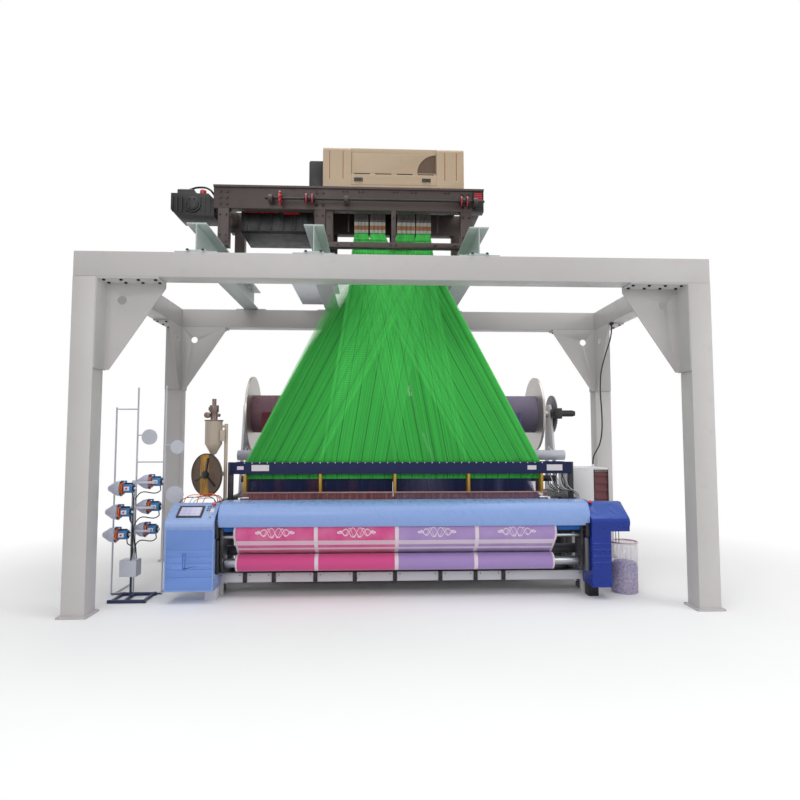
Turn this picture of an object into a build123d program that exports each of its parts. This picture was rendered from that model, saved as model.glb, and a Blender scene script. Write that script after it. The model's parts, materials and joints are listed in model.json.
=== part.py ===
"""Wide air-jet terry loom with a jacquard head, standing under its own steel gantry.

Millimetres. +X runs along the loom to the weaver's right, +Y to the back, +Z up.
The origin is on the floor, at the middle of the gantry.
"""
import os
from math import acos, atan2, cos, degrees, hypot, pi, radians, sin

from build123d import *

# Clearances
RUN_GAP = 0.3
DOOR_GAP = 0.6
SHEET_GAP = 0.5

# Gantry
GANTRY_WIDTH = 6400
GANTRY_DEPTH = 2830
GANTRY_TOP = 3545
COLUMN_SIZE = 220
COLUMN_WALL = 10
BEAM_HEIGHT = 255
BEAM_WALL = 8
BASE_PLATE_SIZE = 280
BASE_PLATE_THICK = 20
ANCHOR_SPACING = 244
ANCHOR_HOLE_R = 9

# Corner brackets
BRACKET_REACH_X = 610
BRACKET_REACH_Y = 520
BRACKET_DROP = 900
BRACKET_THICK = 14
BRACKET_TIP = 60
BRACKET_HOLE_R = 45
BRACKET_HOLE_INSET = 175
BOLT_HEAD_R = 17
BOLT_HEAD_HEIGHT = 16
BOLT_EDGE = 45

# Platform beams across the gantry
PLATFORM_X = (-2020, -855, 820)
PLATFORM_FLANGE = 200
PLATFORM_HEIGHT = 290
PLATFORM_FLANGE_THICK = 15
PLATFORM_WEB = 10
PLATFORM_PAD_THICK = 15
PLATFORM_PAD_LENGTH = 420
PLATFORM_END_INSET = 15
WALKWAY_WIDTH = 390
WALKWAY_FRONT = -290
WALKWAY_BACK = 960
WALKWAY_LIP = 40
WALKWAY_THICK = 4

# Jacquard support frame
FRAME_LEFT = -2050
FRAME_RIGHT = 1000
FRAME_FRONT = -705
FRAME_BACK = 205
FRAME_BEAM_DEPTH = 110
FRAME_BEAM_BOTTOM = 4280
FRAME_TOP = 4540
FRAME_FLANGE_THICK = 25
FRAME_FLANGE_OVERHANG = 25
FRAME_LEG = 122
LEG_LEFT_X = -1938
PORTAL_LEFT_X = -862
PORTAL_RIGHT_X = 797
INNER_LEG_WIDTH = 85
LOW_RAIL_HEIGHT = 62
CENTRE_POST_X = -30
CENTRE_POST_WIDTH = 50
CROSS_RAIL_WIDTH = 90
CROSS_RAIL_HEIGHT = 160
TIE_ROD_R = 9
TIE_ROD_Z = 4358
TIE_ROD_LEFT = -554
TIE_ROD_RIGHT = 502
GUIDE_ROD_Z = 3790
GUIDE_ROD_R = 12

# Jacquard drive
DRIVE_SHAFT_R = 14
DRIVE_SHAFT_Y = -800
DRIVE_SHAFT_Z = 4362
DRIVE_SHAFT_LEFT = -1460
DRIVE_SHAFT_RIGHT = 990
BEARING_X = (-1400, -560, 890)
BEARING_WIDTH = 46
COUPLING_DISC_R = 80
COUPLING_DISC_WIDTH = 26
COUPLING_DISC_X = -1292
COUPLING_HUB_R = 52
COUPLING_HUB_LENGTH = 120
COUPLING_HUB_X = (-970, 760)
GEARBOX_LEFT = -2537
GEARBOX_FRONT = -660
GEARBOX_DEPTH = 330
GEARBOX_BOTTOM = 4203
GEARBOX_TOP = 4462
GEARBOX_CHAMFER = 70
GEARBOX_CAP_LEFT = -2480
GEARBOX_CAP_RIGHT = -2290
GEARBOX_CAP_HEIGHT = 68
DRIVE_HOUSING_LEFT = -1790
DRIVE_HOUSING_RIGHT = -960
DRIVE_HOUSING_FRONT = -480
DRIVE_HOUSING_BOTTOM = 4080
DRIVE_HOUSING_TOP = 4415
HANGER_WIDTH = 50

# Hood
HOOD_LEFT = -830
HOOD_RIGHT = 770
HOOD_FRONT = -730
HOOD_BACK = 225
HOOD_TOP = 5005
HOOD_WALL = 6
HOOD_CORNER_R = 45
HOOD_END_BLOCK_LEFT = 318
HOOD_END_BLOCK_RIGHT = 309
HOOD_RECESS = 26
HOOD_DOOR_BOTTOM = 4562
HOOD_DOOR_TOP = 4950
HOOD_DOOR_THICK = 16
HOOD_LEDGE_Z = 4690
HOOD_GROOVE = 10
HOOD_SLOTS = 4
SIDE_BOX_LEFT = -990
SIDE_BOX_TOP = 4860
SIDE_BOX_DEPTH = 420
MACHINE_BODY_TOP = 4900

# Hook modules and harness
MODULE_SPANS = ((-486, -321), (-300, -118), (24, 238), (252, 428))
MODULE_BOTTOM = 4138
HARNESS_Y = -215
HARNESS_TOP_DEPTH = 300
HARNESS_FOOT_DEPTH = 170
HARNESS_LAYER_GAP = 20
CORDS_PER_MODULE = 10
HARNESS_KNEE_Z = 3800
HARNESS_KNEE_SPREAD = 60
HARNESS_FOOT_Z = 1230
CORD_FILL = 0.78
SPRING_FILL = 0.5

# Comber board frame and the bays under it
DIVIDER_PITCH = 866
DIVIDER_WIDTH = 30
COMBER_LEFT = -1900
COMBER_RIGHT = 2090
COMBER_BOTTOM = 1290
COMBER_TOP = 1425
COMBER_RAIL_THICK = 25
COMBER_BOARD_Z = 1350
COMBER_BOARD_THICK = 12
BAY_MARGIN = 8
HEDDLE_BOTTOM = 1066
SPRING_TOP = 1030
SPRING_BOTTOM = 640
SPRING_FLOOR_HEIGHT = 40

# Loom frame
SIDE_PLATE = 60
SIDE_LEFT_X = -1990
SIDE_RIGHT_X = 2115
SIDE_FRONT = -590
SIDE_BACK = 1010
SIDE_BOTTOM = 60
SIDE_TOP = 1000
SIDE_WINDOW_BOTTOM = 190
SIDE_WINDOW_TOP = 860
POST_WIDTH = 55
POST_DEPTH = 60
POST_BOTTOM = SPRING_BOTTOM - SPRING_FLOOR_HEIGHT
FOOT_HEIGHT = 60
FOOT_LENGTH = 200
BREAST_BEAM_FRONT = -690
BREAST_BEAM_DEPTH = 100
BREAST_BEAM_BOTTOM = 850
BREAST_BEAM_HEIGHT = 100
BASE_BEAM_FRONT = -650
BASE_BEAM_DEPTH = 60
BASE_BEAM_BOTTOM = 140
BASE_BEAM_HEIGHT = 100
BASE_PANEL_POSTS = (-1640, -1330, -880, -450, -10, 490, 880, 1190)
FRONT_BRACKET_THICK = 25
FRONT_BRACKET_LEFT = -1850
FRONT_BRACKET_RIGHT = 1985

# Sley and reed
SLEY_PIVOT_Y = -470
SLEY_PIVOT_Z = 450
SLEY_TUBE_R = 55
SLEY_JOURNAL_R = 40
SWORD_WIDTH = 90
SWORD_THICK = 24
SWORDS = 8
SLEY_BEAM_BOTTOM = 860
SLEY_BEAM_TOP = 940
SLEY_BEAM_FRONT = -545
SLEY_BEAM_DEPTH = 90
REED_THICK = 12
REED_FRONT = -515
REED_TOP = 1100
REED_BAR = 16
REED_DENT = 8

# Warp and cloth
WEAVING_WIDTH = 3400
WARP_THICK = 3
WARP_LINE_Z = 1048
WARP_REST_Y = -105
FELL_Y = -545
FELL_Z = 1016
CLOTH_THICK = 4
TAKE_UP_Y = -850
TAKE_UP_Z = 760
TAKE_UP_R = 48
ROLL_Y = -800
ROLL_Z = 380
ROLL_R = 88
ROLL_TUBE_R = 46
PRESS_BAR_Y = -845
PRESS_BAR_Z = 660
PRESS_BAR_R = 20
JOURNAL_R = 20

# Warp beams
PILE_Y = 750
PILE_Z = 2030
PILE_FLANGE_R = 500
PILE_WARP_R = 250
PILE_BARREL_R = 90
GROUND_Y = 760
GROUND_Z = 560
GROUND_FLANGE_R = 430
GROUND_WARP_R = 300
FLANGE_LEFT_X = -1850
FLANGE_RIGHT_X = 1930
FLANGE_THICK = 18
FLANGE_RIM = 12
BEAM_JOURNAL_R = 45
LET_OFF_GEAR_R = 258
LET_OFF_TEETH = 48
LET_OFF_TOOTH = 14
LET_OFF_GEAR_WIDTH = 28
WORM_HOUSING_WIDTH = 62
WORM_HOUSING_DEPTH = 90
WORM_HOUSING_LENGTH = 140
LET_OFF_MOTOR_R = 42
LET_OFF_MOTOR_LENGTH = 153
STAND_THICK = 30
STAND_TOP = 2160
TENSION_Y = 400
TENSION_Z = 1485
TENSION_R = 65
TENSION_RIGHT = 2236
TENSION_PIVOT_Y = 620
TENSION_PIVOT_Z = 1560
TENSION_PIVOT_R = 20
TENSION_ARM_THICK = 24
GUIDE_TUBE_Y = 480
GUIDE_TUBE_Z = 1180
GUIDE_TUBE_R = 40

# Covers and cabinets
COVER_LEFT = -1860
COVER_RIGHT = 2060
COVER_WALL = 4
CABINET_LEFT = -2389
CABINET_RIGHT = -1892
CABINET_FRONT = -1000
CABINET_BACK = BREAST_BEAM_FRONT - SHEET_GAP
CABINET_BOTTOM = 132
CABINET_LIP_Z = 780
CABINET_SHOULDER_Z = 858
SHOULDER_SETBACK = 6
CABINET_CREST_Y = -770
CABINET_CREST_Z = 1005
CABINET_WALL = 5
CABINET_DOOR_THICK = 22
CABINET_DOOR_BOTTOM = 150
CABINET_DOOR_TOP = 752
CABINET_GROOVES = (551, 480, 414, 353, 274)
PANEL_X = -2165
PANEL_WIDTH = 262
PANEL_LENGTH = 178
PANEL_THICK = 12
KEY_X = -1945
STOP_R = 22
STOP_TRAVEL = 5
KEY_R = 9
KEY_TRAVEL = 3
RIGHT_COVER_LEFT = 2067
RIGHT_COLUMN_RIGHT = 2273
RIGHT_COVER_RIGHT = 2476
RIGHT_OVERHANG_Z = 714
RIGHT_STOP_X = 2125
RIB_STEP = 66
RIBS = 4

# Electrical cabinet
ELECTRIC_LEFT = 2220
ELECTRIC_DOOR_RIGHT = 2510
ELECTRIC_RIGHT = 2700
ELECTRIC_FRONT = 100
ELECTRIC_BACK = 600
ELECTRIC_TOP = 1330
ELECTRIC_WALL = 5
PLINTH = 100

# Air filter and selvedge reel
FILTER_X = -2103
FILTER_Y = -300
FILTER_R = 97
FILTER_BOTTOM = 1640
FILTER_TOP = 1900
FILTER_CONE_Z = 1520
FILTER_POLE_X = -1960
FILTER_POLE_R = 20
REEL_X = -2130
REEL_Y = -450
REEL_Z = 1292
REEL_R = 240
REEL_TURN = 32
REEL_THICK = 14
REEL_SPINDLE_R = 12
REEL_SPINDLE_REACH = 122

# Weft feeders and creel
FEEDER_SPOTS = (
    (-2918, -830, 1173), (-2706, -610, 1227), (-2940, -830, 926),
    (-2715, -610, 957), (-2960, -830, 690), (-2740, -610, 710),
)
FEEDER_HOUSING = 90
FEEDER_HOUSING_GAP = 40
FEEDER_DRUM_R = 48
FEEDER_DRUM_LENGTH = 84
FEEDER_DISC_R = 64
FEEDER_DISC_FROM = 14
FEEDER_DISC_THICK = 18
FEEDER_SHAFT_R = 24
FEEDER_BELL_R = 84
FEEDER_BELL_TIP_R = 26
FEEDER_BELL_LENGTH = 132
FEEDER_BELL_WALL = 4
FEEDER_BELL_END = 8
MAST_X = -2830
MAST_Y = -720
MAST_R = 16
CREEL_Y = -560
CREEL_POSTS = ((-3100, 2045), (-2866, 2266), (-2561, 2289))
CREEL_POST_R = 9
CREEL_DISCS = ((-2720, 1717, 85), (-2415, 1607, 75), (-2430, 1085, 95))

# Waste bin
BIN_X = 2555
BIN_Y = -650
BIN_R = 145
BIN_HEIGHT = 540
BIN_WALL = 3
WASTE_TOP = 340

# Supply cable
CABLE_R = 9
CABLE_CLIP = 30
CABLE_ROUTE = (
    (3010, 640, GANTRY_TOP - BEAM_HEIGHT - CABLE_CLIP), (3010, 640, 3120), (2920, 640, 2870), (2836, 625, 2610),
    (2816, 610, 2340), (2828, 595, 2070), (2822, 575, 1810), (2770, 545, 1600), (2655, 500, 1470),
    (2655, 500, ELECTRIC_TOP + CABLE_CLIP),
)

# Worked-out places
column_x = GANTRY_WIDTH / 2 - COLUMN_SIZE / 2
column_y = GANTRY_DEPTH / 2 - COLUMN_SIZE / 2
beam_bottom = GANTRY_TOP - BEAM_HEIGHT
platform_bottom = GANTRY_TOP + PLATFORM_PAD_THICK
platform_top = platform_bottom + PLATFORM_HEIGHT
frame_beam_top = FRAME_TOP - FRAME_FLANGE_THICK
front_beam_back = FRAME_FRONT + FRAME_BEAM_DEPTH
rear_beam_front = FRAME_BACK - FRAME_BEAM_DEPTH
rail_front_y = HARNESS_Y - HARNESS_FOOT_DEPTH / 2 - 10
rail_back_y = HARNESS_Y + HARNESS_FOOT_DEPTH / 2 + 10
side_left_inner = SIDE_LEFT_X + SIDE_PLATE
stand_left_x = SIDE_LEFT_X + (SIDE_PLATE - STAND_THICK) / 2
stand_right_x = SIDE_RIGHT_X + (SIDE_PLATE - STAND_THICK) / 2
shoulder_y = CABINET_FRONT + SHOULDER_SETBACK
slope_angle = degrees(atan2(CABINET_CREST_Z - CABINET_SHOULDER_Z, CABINET_CREST_Y - shoulder_y))


# Shape helpers
def block(x0, x1, y0, y1, z0, z1):
    """A box between two corners."""
    return Pos((x0 + x1) / 2, (y0 + y1) / 2, (z0 + z1) / 2) * Box(x1 - x0, y1 - y0, z1 - z0)


def bar_x(x0, x1, y, z, r):
    """A round bar along X."""
    return Pos((x0 + x1) / 2, y, z) * Rot(0, 90, 0) * Cylinder(r, x1 - x0)


def bar_y(x, y0, y1, z, r):
    """A round bar along Y."""
    return Pos(x, (y0 + y1) / 2, z) * Rot(90, 0, 0) * Cylinder(r, y1 - y0)


def bar_z(x, y, z0, z1, r):
    """A round bar along Z."""
    return Pos(x, y, (z0 + z1) / 2) * Cylinder(r, z1 - z0)


def side_profile(points, x0, x1):
    """An outline in Y and Z, drawn out from x0 to x1."""
    return extrude(Plane.YZ.offset(x0) * Polygon(*points, align=None), x1 - x0, dir=(1, 0, 0))


def front_profile(points, y0, y1):
    """An outline in X and Z, drawn out from y0 to y1."""
    return extrude(Plane.XZ.offset(-y0) * Polygon(*points, align=None), y1 - y0, dir=(0, 1, 0))


def group(*shapes):
    """Separate solids kept together in one node."""
    solids = [solid for shape in shapes for solid in shape.solids()]
    return Compound(solids)


def strip_outline(points, thick):
    """The outline of a strip that follows points, with its corners mitred."""
    sides = []
    for i, (y, z) in enumerate(points):
        before = points[max(i - 1, 0)]
        after = points[min(i + 1, len(points) - 1)]
        steps = []
        for a, b in ((before, (y, z)), ((y, z), after)):
            length = hypot(b[0] - a[0], b[1] - a[1])
            if length > 0:
                steps.append(((b[0] - a[0]) / length, (b[1] - a[1]) / length))
        dy = sum(s[0] for s in steps)
        dz = sum(s[1] for s in steps)
        size = hypot(dy, dz)
        dy, dz = dy / size, dz / size
        spread = thick / 2 / (dy * steps[0][0] + dz * steps[0][1])
        sides.append(((y - dz * spread, z + dy * spread), (y + dz * spread, z - dy * spread)))
    return [s[0] for s in sides] + [s[1] for s in reversed(sides)]


def wall_between(outer, inner):
    """A face between two smooth edges that run side by side."""
    a = Spline(*outer)
    b = Spline(*inner)
    return make_face([a, b, Line(outer[0], inner[0]), Line(outer[-1], inner[-1])])


# Gantry
def gantry_columns():
    """Four hollow columns, each welded to a base plate with four anchor holes."""
    parts = []
    for sx in (-1, 1):
        for sy in (-1, 1):
            x, y = sx * column_x, sy * column_y
            h, p, a = COLUMN_SIZE / 2, BASE_PLATE_SIZE / 2, ANCHOR_SPACING / 2
            column = block(x - h, x + h, y - h, y + h, BASE_PLATE_THICK, beam_bottom)
            w = h - COLUMN_WALL
            bore = block(x - w, x + w, y - w, y + w, BASE_PLATE_THICK, beam_bottom - COLUMN_WALL)
            plate = block(x - p, x + p, y - p, y + p, 0, BASE_PLATE_THICK)
            for ax in (-a, a):
                for ay in (-a, a):
                    plate -= bar_z(x + ax, y + ay, 0, BASE_PLATE_THICK, ANCHOR_HOLE_R)
            parts.append(plate + (column - bore))
    return group(*parts)


def gantry_beams():
    """Two long beams along X and two short ones between them, all box section."""
    parts = []
    half_w, half_d = GANTRY_WIDTH / 2, GANTRY_DEPTH / 2
    for sy in (-1, 1):
        y = sy * column_y
        outer = block(-half_w, half_w, y - COLUMN_SIZE / 2, y + COLUMN_SIZE / 2, beam_bottom, GANTRY_TOP)
        inner = block(-half_w + BEAM_WALL, half_w - BEAM_WALL,
                      y - COLUMN_SIZE / 2 + BEAM_WALL, y + COLUMN_SIZE / 2 - BEAM_WALL,
                      beam_bottom + BEAM_WALL, GANTRY_TOP - BEAM_WALL)
        parts.append(outer - inner)
    reach = half_d - COLUMN_SIZE
    for sx in (-1, 1):
        x = sx * column_x
        outer = block(x - COLUMN_SIZE / 2, x + COLUMN_SIZE / 2, -reach, reach, beam_bottom, GANTRY_TOP)
        inner = block(x - COLUMN_SIZE / 2 + BEAM_WALL, x + COLUMN_SIZE / 2 - BEAM_WALL, -reach, reach,
                      beam_bottom + BEAM_WALL, GANTRY_TOP - BEAM_WALL)
        parts.append(outer - inner)
    return group(*parts)


def bracket(reach, along_x):
    """One plate bracket for the front left corner: two plates and a web with a round hole."""
    t, drop, tip, width = BRACKET_THICK, BRACKET_DROP, BRACKET_TIP, COLUMN_SIZE
    outline = Polygon((0, 0), (reach, 0), (reach, -tip), (tip, -drop), (0, -drop), align=None)
    web = outline - Pos(BRACKET_HOLE_INSET, -BRACKET_HOLE_INSET - t) * Circle(BRACKET_HOLE_R)
    if along_x:
        web = extrude(Plane.XZ * web, t, dir=(0, -1, 0))
        return web + block(0, reach, -width, 0, -t, 0) + block(0, t, -width, 0, -drop, 0)
    web = extrude(Plane.YZ * web, t, dir=(-1, 0, 0))
    return web + block(-width, 0, 0, reach, -t, 0) + block(-width, 0, 0, t, -drop, 0)


def to_corner(shape, sx, sy):
    """Moves a shape drawn for the front left corner to any corner of the gantry."""
    x = column_x - COLUMN_SIZE / 2
    y = column_y - COLUMN_SIZE / 2
    shape = Pos(-x, -y, beam_bottom) * shape
    if sx > 0:
        shape = mirror(shape, about=Plane.YZ)
    if sy > 0:
        shape = mirror(shape, about=Plane.XZ)
    return shape


def corner_brackets():
    """At each corner, one bracket along the long beam and one along the short beam."""
    pair = (bracket(BRACKET_REACH_X, True), bracket(BRACKET_REACH_Y, False))
    return group(*[to_corner(shape, sx, sy) for sx in (-1, 1) for sy in (-1, 1) for shape in pair])


def hex_head(x, y, z):
    """A hexagon head hanging under a plate at z."""
    head = extrude(RegularPolygon(BOLT_HEAD_R, 6), BOLT_HEAD_HEIGHT)
    return Pos(x, y, z - BOLT_HEAD_HEIGHT) * head


def gantry_bolts():
    """Bolt heads under the bracket plates, and on the pads of the platform beams."""
    heads = []
    rows = (-COLUMN_SIZE + BOLT_EDGE, -BOLT_EDGE - BRACKET_THICK)
    for i in range(4):
        step = BRACKET_REACH_X - 2 * BOLT_EDGE - BRACKET_THICK
        x = BRACKET_THICK + BOLT_EDGE + step * i / 3
        heads += [hex_head(x, y, -BRACKET_THICK) for y in rows]
    for i in range(3):
        step = BRACKET_REACH_Y - 2 * BOLT_EDGE - BRACKET_THICK
        y = BRACKET_THICK + BOLT_EDGE + step * i / 2
        heads += [hex_head(x, y, -BRACKET_THICK) for x in rows]
    corners = [to_corner(group(*heads), sx, sy) for sx in (-1, 1) for sy in (-1, 1)]
    return group(*corners)


# Platform on top of the gantry
def platform_beam(x):
    """An H-section beam across the gantry, on a pad plate at each end."""
    reach = GANTRY_DEPTH / 2 - PLATFORM_END_INSET
    half = PLATFORM_FLANGE / 2
    low, high, t = platform_bottom, platform_top, PLATFORM_FLANGE_THICK
    beam = block(x - half, x + half, -reach, reach, low, low + t)
    beam += block(x - half, x + half, -reach, reach, high - t, high)
    beam += block(x - PLATFORM_WEB / 2, x + PLATFORM_WEB / 2, -reach, reach, low + t, high - t)
    pad = PLATFORM_PAD_LENGTH / 2
    for sy in (-1, 1):
        y = sy * column_y
        edge = COLUMN_SIZE / 2 - PLATFORM_END_INSET
        beam += block(x - pad, x + pad, y - edge, y + edge, GANTRY_TOP, low)
    return beam


def platform_beams():
    """The three beams that carry the jacquard head."""
    return group(*[platform_beam(x) for x in PLATFORM_X])


def service_walkway():
    """A tray with turned-up edges, lying on the lower flange of the middle platform beam."""
    right = PLATFORM_X[1] - PLATFORM_WEB / 2 - SHEET_GAP
    left = right - WALKWAY_WIDTH
    z = platform_bottom + PLATFORM_FLANGE_THICK
    tray = block(left, right, WALKWAY_FRONT, WALKWAY_BACK, z, z + WALKWAY_THICK)
    lip = WALKWAY_THICK
    for x in (left, left + WALKWAY_WIDTH * 0.62):
        tray += block(x, x + lip, WALKWAY_FRONT, WALKWAY_BACK, z, z + WALKWAY_LIP)
    for y in (WALKWAY_FRONT, WALKWAY_BACK - lip):
        tray += block(left, right, y, y + lip, z, z + WALKWAY_LIP)
    return tray


# Jacquard support frame
def frame_beam(y0, y1, front):
    """A long beam with a wider flange on top."""
    beam = block(FRAME_LEFT, FRAME_RIGHT, y0, y1, FRAME_BEAM_BOTTOM, frame_beam_top)
    over0 = FRAME_FLANGE_OVERHANG if front else 0
    over1 = 0 if front else FRAME_FLANGE_OVERHANG
    return beam + block(FRAME_LEFT, FRAME_RIGHT, y0 - over0, y1 + over1, frame_beam_top, FRAME_TOP)


def frame_leg(x, y0, y1, width=FRAME_LEG):
    """A leg from the platform beams up to a long beam."""
    return block(x - width / 2, x + width / 2, y0, y1, platform_top, FRAME_BEAM_BOTTOM)


def jacquard_frame():
    """Long beams, legs, the low rail, the centre post, cross rails, tie rods and shaft bearings."""
    parts = []
    for y0, y1, front in ((FRAME_FRONT, front_beam_back, True), (rear_beam_front, FRAME_BACK, False)):
        parts.append(frame_beam(y0, y1, front))
        parts += [frame_leg(x, y0, y1) for x in (LEG_LEFT_X, PORTAL_LEFT_X, PORTAL_RIGHT_X)]
        left = PORTAL_LEFT_X + FRAME_LEG / 2
        right = PORTAL_RIGHT_X - FRAME_LEG / 2
        low_top = platform_top + LOW_RAIL_HEIGHT
        low = block(left, right, y0, y1 - 30, platform_top, low_top)
        half = CENTRE_POST_WIDTH / 2
        parts.append(low)
        parts.append(block(CENTRE_POST_X - half, CENTRE_POST_X + half, y0, y0 + 60, low_top, FRAME_BEAM_BOTTOM))
        parts.append(block(left, left + INNER_LEG_WIDTH, y0 + 20, y1 - 30, low_top, FRAME_BEAM_BOTTOM))
    half = CROSS_RAIL_WIDTH / 2
    cross_bottom = frame_beam_top - CROSS_RAIL_HEIGHT
    for x in (FRAME_LEFT + half, PORTAL_LEFT_X, FRAME_RIGHT - half):
        parts.append(block(x - half, x + half, front_beam_back, rear_beam_front, cross_bottom, frame_beam_top))
    rod_y = HARNESS_Y - HARNESS_TOP_DEPTH / 2 - 40
    cross_left, cross_right = PORTAL_LEFT_X + half, FRAME_RIGHT - CROSS_RAIL_WIDTH
    parts.append(bar_x(cross_left, cross_right, rod_y, TIE_ROD_Z + 20, TIE_ROD_R))
    for x in (TIE_ROD_LEFT, TIE_ROD_RIGHT):
        parts.append(bar_z(x, rod_y, MODULE_BOTTOM, TIE_ROD_Z + 20 - TIE_ROD_R, TIE_ROD_R))
    web_left = PLATFORM_X[1] + PLATFORM_WEB / 2
    web_right = PLATFORM_X[2] - PLATFORM_WEB / 2
    guide_gap = HARNESS_TOP_DEPTH / 2 + GUIDE_ROD_R + 12
    for y in (HARNESS_Y - guide_gap, HARNESS_Y + guide_gap):
        parts.append(bar_x(web_left, web_right, y, GUIDE_ROD_Z, GUIDE_ROD_R))
    for x in BEARING_X:
        w = BEARING_WIDTH / 2
        foot = block(x - w, x + w, DRIVE_SHAFT_Y, FRAME_FRONT, DRIVE_SHAFT_Z - 38, DRIVE_SHAFT_Z + 38)
        foot += bar_x(x - w, x + w, DRIVE_SHAFT_Y, DRIVE_SHAFT_Z, 38)
        parts.append(foot - bar_x(x - w, x + w, DRIVE_SHAFT_Y, DRIVE_SHAFT_Z, DRIVE_SHAFT_R + RUN_GAP))
    return group(*parts)


# Jacquard drive
def jacquard_drive_shaft():
    """The cross shaft with its guard disc and two shaft couplings."""
    y, z = DRIVE_SHAFT_Y, DRIVE_SHAFT_Z
    shaft = bar_x(DRIVE_SHAFT_LEFT, DRIVE_SHAFT_RIGHT, y, z, DRIVE_SHAFT_R)
    half = COUPLING_DISC_WIDTH / 2
    disc = bar_x(COUPLING_DISC_X - half, COUPLING_DISC_X + half, y, z, COUPLING_DISC_R - 22)
    for i in range(8):
        turn = Rot(45 * i, 0, 0)
        disc += Pos(COUPLING_DISC_X, y, z) * turn * Pos(0, 0, COUPLING_DISC_R - 24) * Box(half, 26, 48)
    shaft += disc
    for x in COUPLING_HUB_X:
        reach = COUPLING_HUB_LENGTH / 2
        shaft += bar_x(x - reach, x + reach, y, z, COUPLING_HUB_R * 0.6)
        for side in (-1, 1):
            shaft += bar_x(x + side * reach * 0.55 - 14, x + side * reach * 0.55 + 14, y, z, COUPLING_HUB_R)
    return shaft


def drive_gearbox():
    """The angle gearbox at the left end of the frame, with its motor cap."""
    c = GEARBOX_CHAMFER
    outline = [
        (GEARBOX_LEFT, GEARBOX_BOTTOM + c), (GEARBOX_LEFT + c, GEARBOX_BOTTOM), (FRAME_LEFT, GEARBOX_BOTTOM),
        (FRAME_LEFT, GEARBOX_TOP - c), (FRAME_LEFT - c, GEARBOX_TOP), (GEARBOX_LEFT, GEARBOX_TOP),
    ]
    box = front_profile(outline, GEARBOX_FRONT, GEARBOX_FRONT + GEARBOX_DEPTH)
    cap = block(GEARBOX_CAP_LEFT, GEARBOX_CAP_RIGHT, GEARBOX_FRONT + 40, GEARBOX_FRONT + GEARBOX_DEPTH - 40,
                GEARBOX_TOP, GEARBOX_TOP + GEARBOX_CAP_HEIGHT)
    cap = chamfer(cap.edges().group_by(Axis.Z)[-1], 12)
    flange = bar_y((GEARBOX_LEFT + FRAME_LEFT) / 2, GEARBOX_FRONT - 22, GEARBOX_FRONT,
                   (GEARBOX_BOTTOM + GEARBOX_TOP) / 2, 95)
    plug = bar_z(GEARBOX_CAP_RIGHT + 95, GEARBOX_FRONT + GEARBOX_DEPTH / 2, GEARBOX_TOP, GEARBOX_TOP + 34, 42)
    return box + cap + flange + plug


def drive_housing():
    """The ribbed housing of the lifting drive, hung between the long beams."""
    left, right, front = DRIVE_HOUSING_LEFT, DRIVE_HOUSING_RIGHT, DRIVE_HOUSING_FRONT
    box = block(left, right, front, rear_beam_front, DRIVE_HOUSING_BOTTOM, DRIVE_HOUSING_TOP)
    box = chamfer(box.edges().filter_by(Axis.X).group_by(Axis.Z)[0], 24)
    ribs = 6
    for i in range(ribs):
        x = left + (right - left) * (i + 0.5) / ribs
        box += block(x - 8, x + 8, front - 14, front, DRIVE_HOUSING_BOTTOM + 40, DRIVE_HOUSING_TOP - 110)
    box += block(left + 40, left + 40 + 385, front - 22, front, DRIVE_HOUSING_TOP - 98, DRIVE_HOUSING_TOP - 70)
    for x in (left + 60, right - 60 - HANGER_WIDTH):
        box += block(x, x + HANGER_WIDTH, front_beam_back, front, DRIVE_HOUSING_TOP - 60, DRIVE_HOUSING_TOP)
    return box


# Jacquard head
def hood_outline(inset):
    """The hood's end view, with a rounded top, taken in by inset."""
    y0, y1 = HOOD_FRONT + inset, HOOD_BACK - inset
    height = HOOD_TOP - FRAME_TOP - inset
    shape = Pos((y0 + y1) / 2, FRAME_TOP + height / 2) * Rectangle(y1 - y0, height)
    top = shape.vertices().group_by(Axis.Y)[-1]
    return Plane.YZ * fillet(top, HOOD_CORNER_R - inset)


def jacquard_hood():
    """The moulded hood: two thick end blocks, a set-back middle with an opening, grooves and a ledge."""
    along = (1, 0, 0)
    outer = extrude(hood_outline(0), HOOD_RIGHT - HOOD_LEFT, dir=along)
    inner = extrude(hood_outline(HOOD_WALL), HOOD_RIGHT - HOOD_LEFT - 2 * HOOD_WALL, dir=along)
    hood = Pos(HOOD_LEFT, 0, 0) * outer - Pos(HOOD_LEFT + HOOD_WALL, 0, 0) * inner
    door_left, door_right = HOOD_LEFT + HOOD_END_BLOCK_LEFT, HOOD_RIGHT - HOOD_END_BLOCK_RIGHT
    lip = HOOD_RECESS + HOOD_WALL
    back_wall = block(door_left - lip, door_right + lip, HOOD_FRONT + HOOD_WALL, HOOD_FRONT + lip,
                      FRAME_TOP, HOOD_TOP - HOOD_WALL)
    hood += back_wall & (Pos(HOOD_LEFT + HOOD_WALL, 0, 0) * inner)
    hood -= block(door_left, door_right, HOOD_FRONT - 1, HOOD_FRONT + HOOD_RECESS, HOOD_LEDGE_Z, HOOD_TOP + 1)
    hood -= block(door_left, door_right, HOOD_FRONT - 1, HOOD_FRONT + lip + 1, HOOD_DOOR_BOTTOM, HOOD_DOOR_TOP)
    for x in (HOOD_LEFT + 70, HOOD_LEFT + 222, HOOD_RIGHT - 222, HOOD_RIGHT - 90):
        groove = block(x, x + HOOD_GROOVE, HOOD_FRONT - 1, HOOD_FRONT + 3, FRAME_TOP + 90, HOOD_TOP - 50)
        hood -= groove
    return hood


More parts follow.
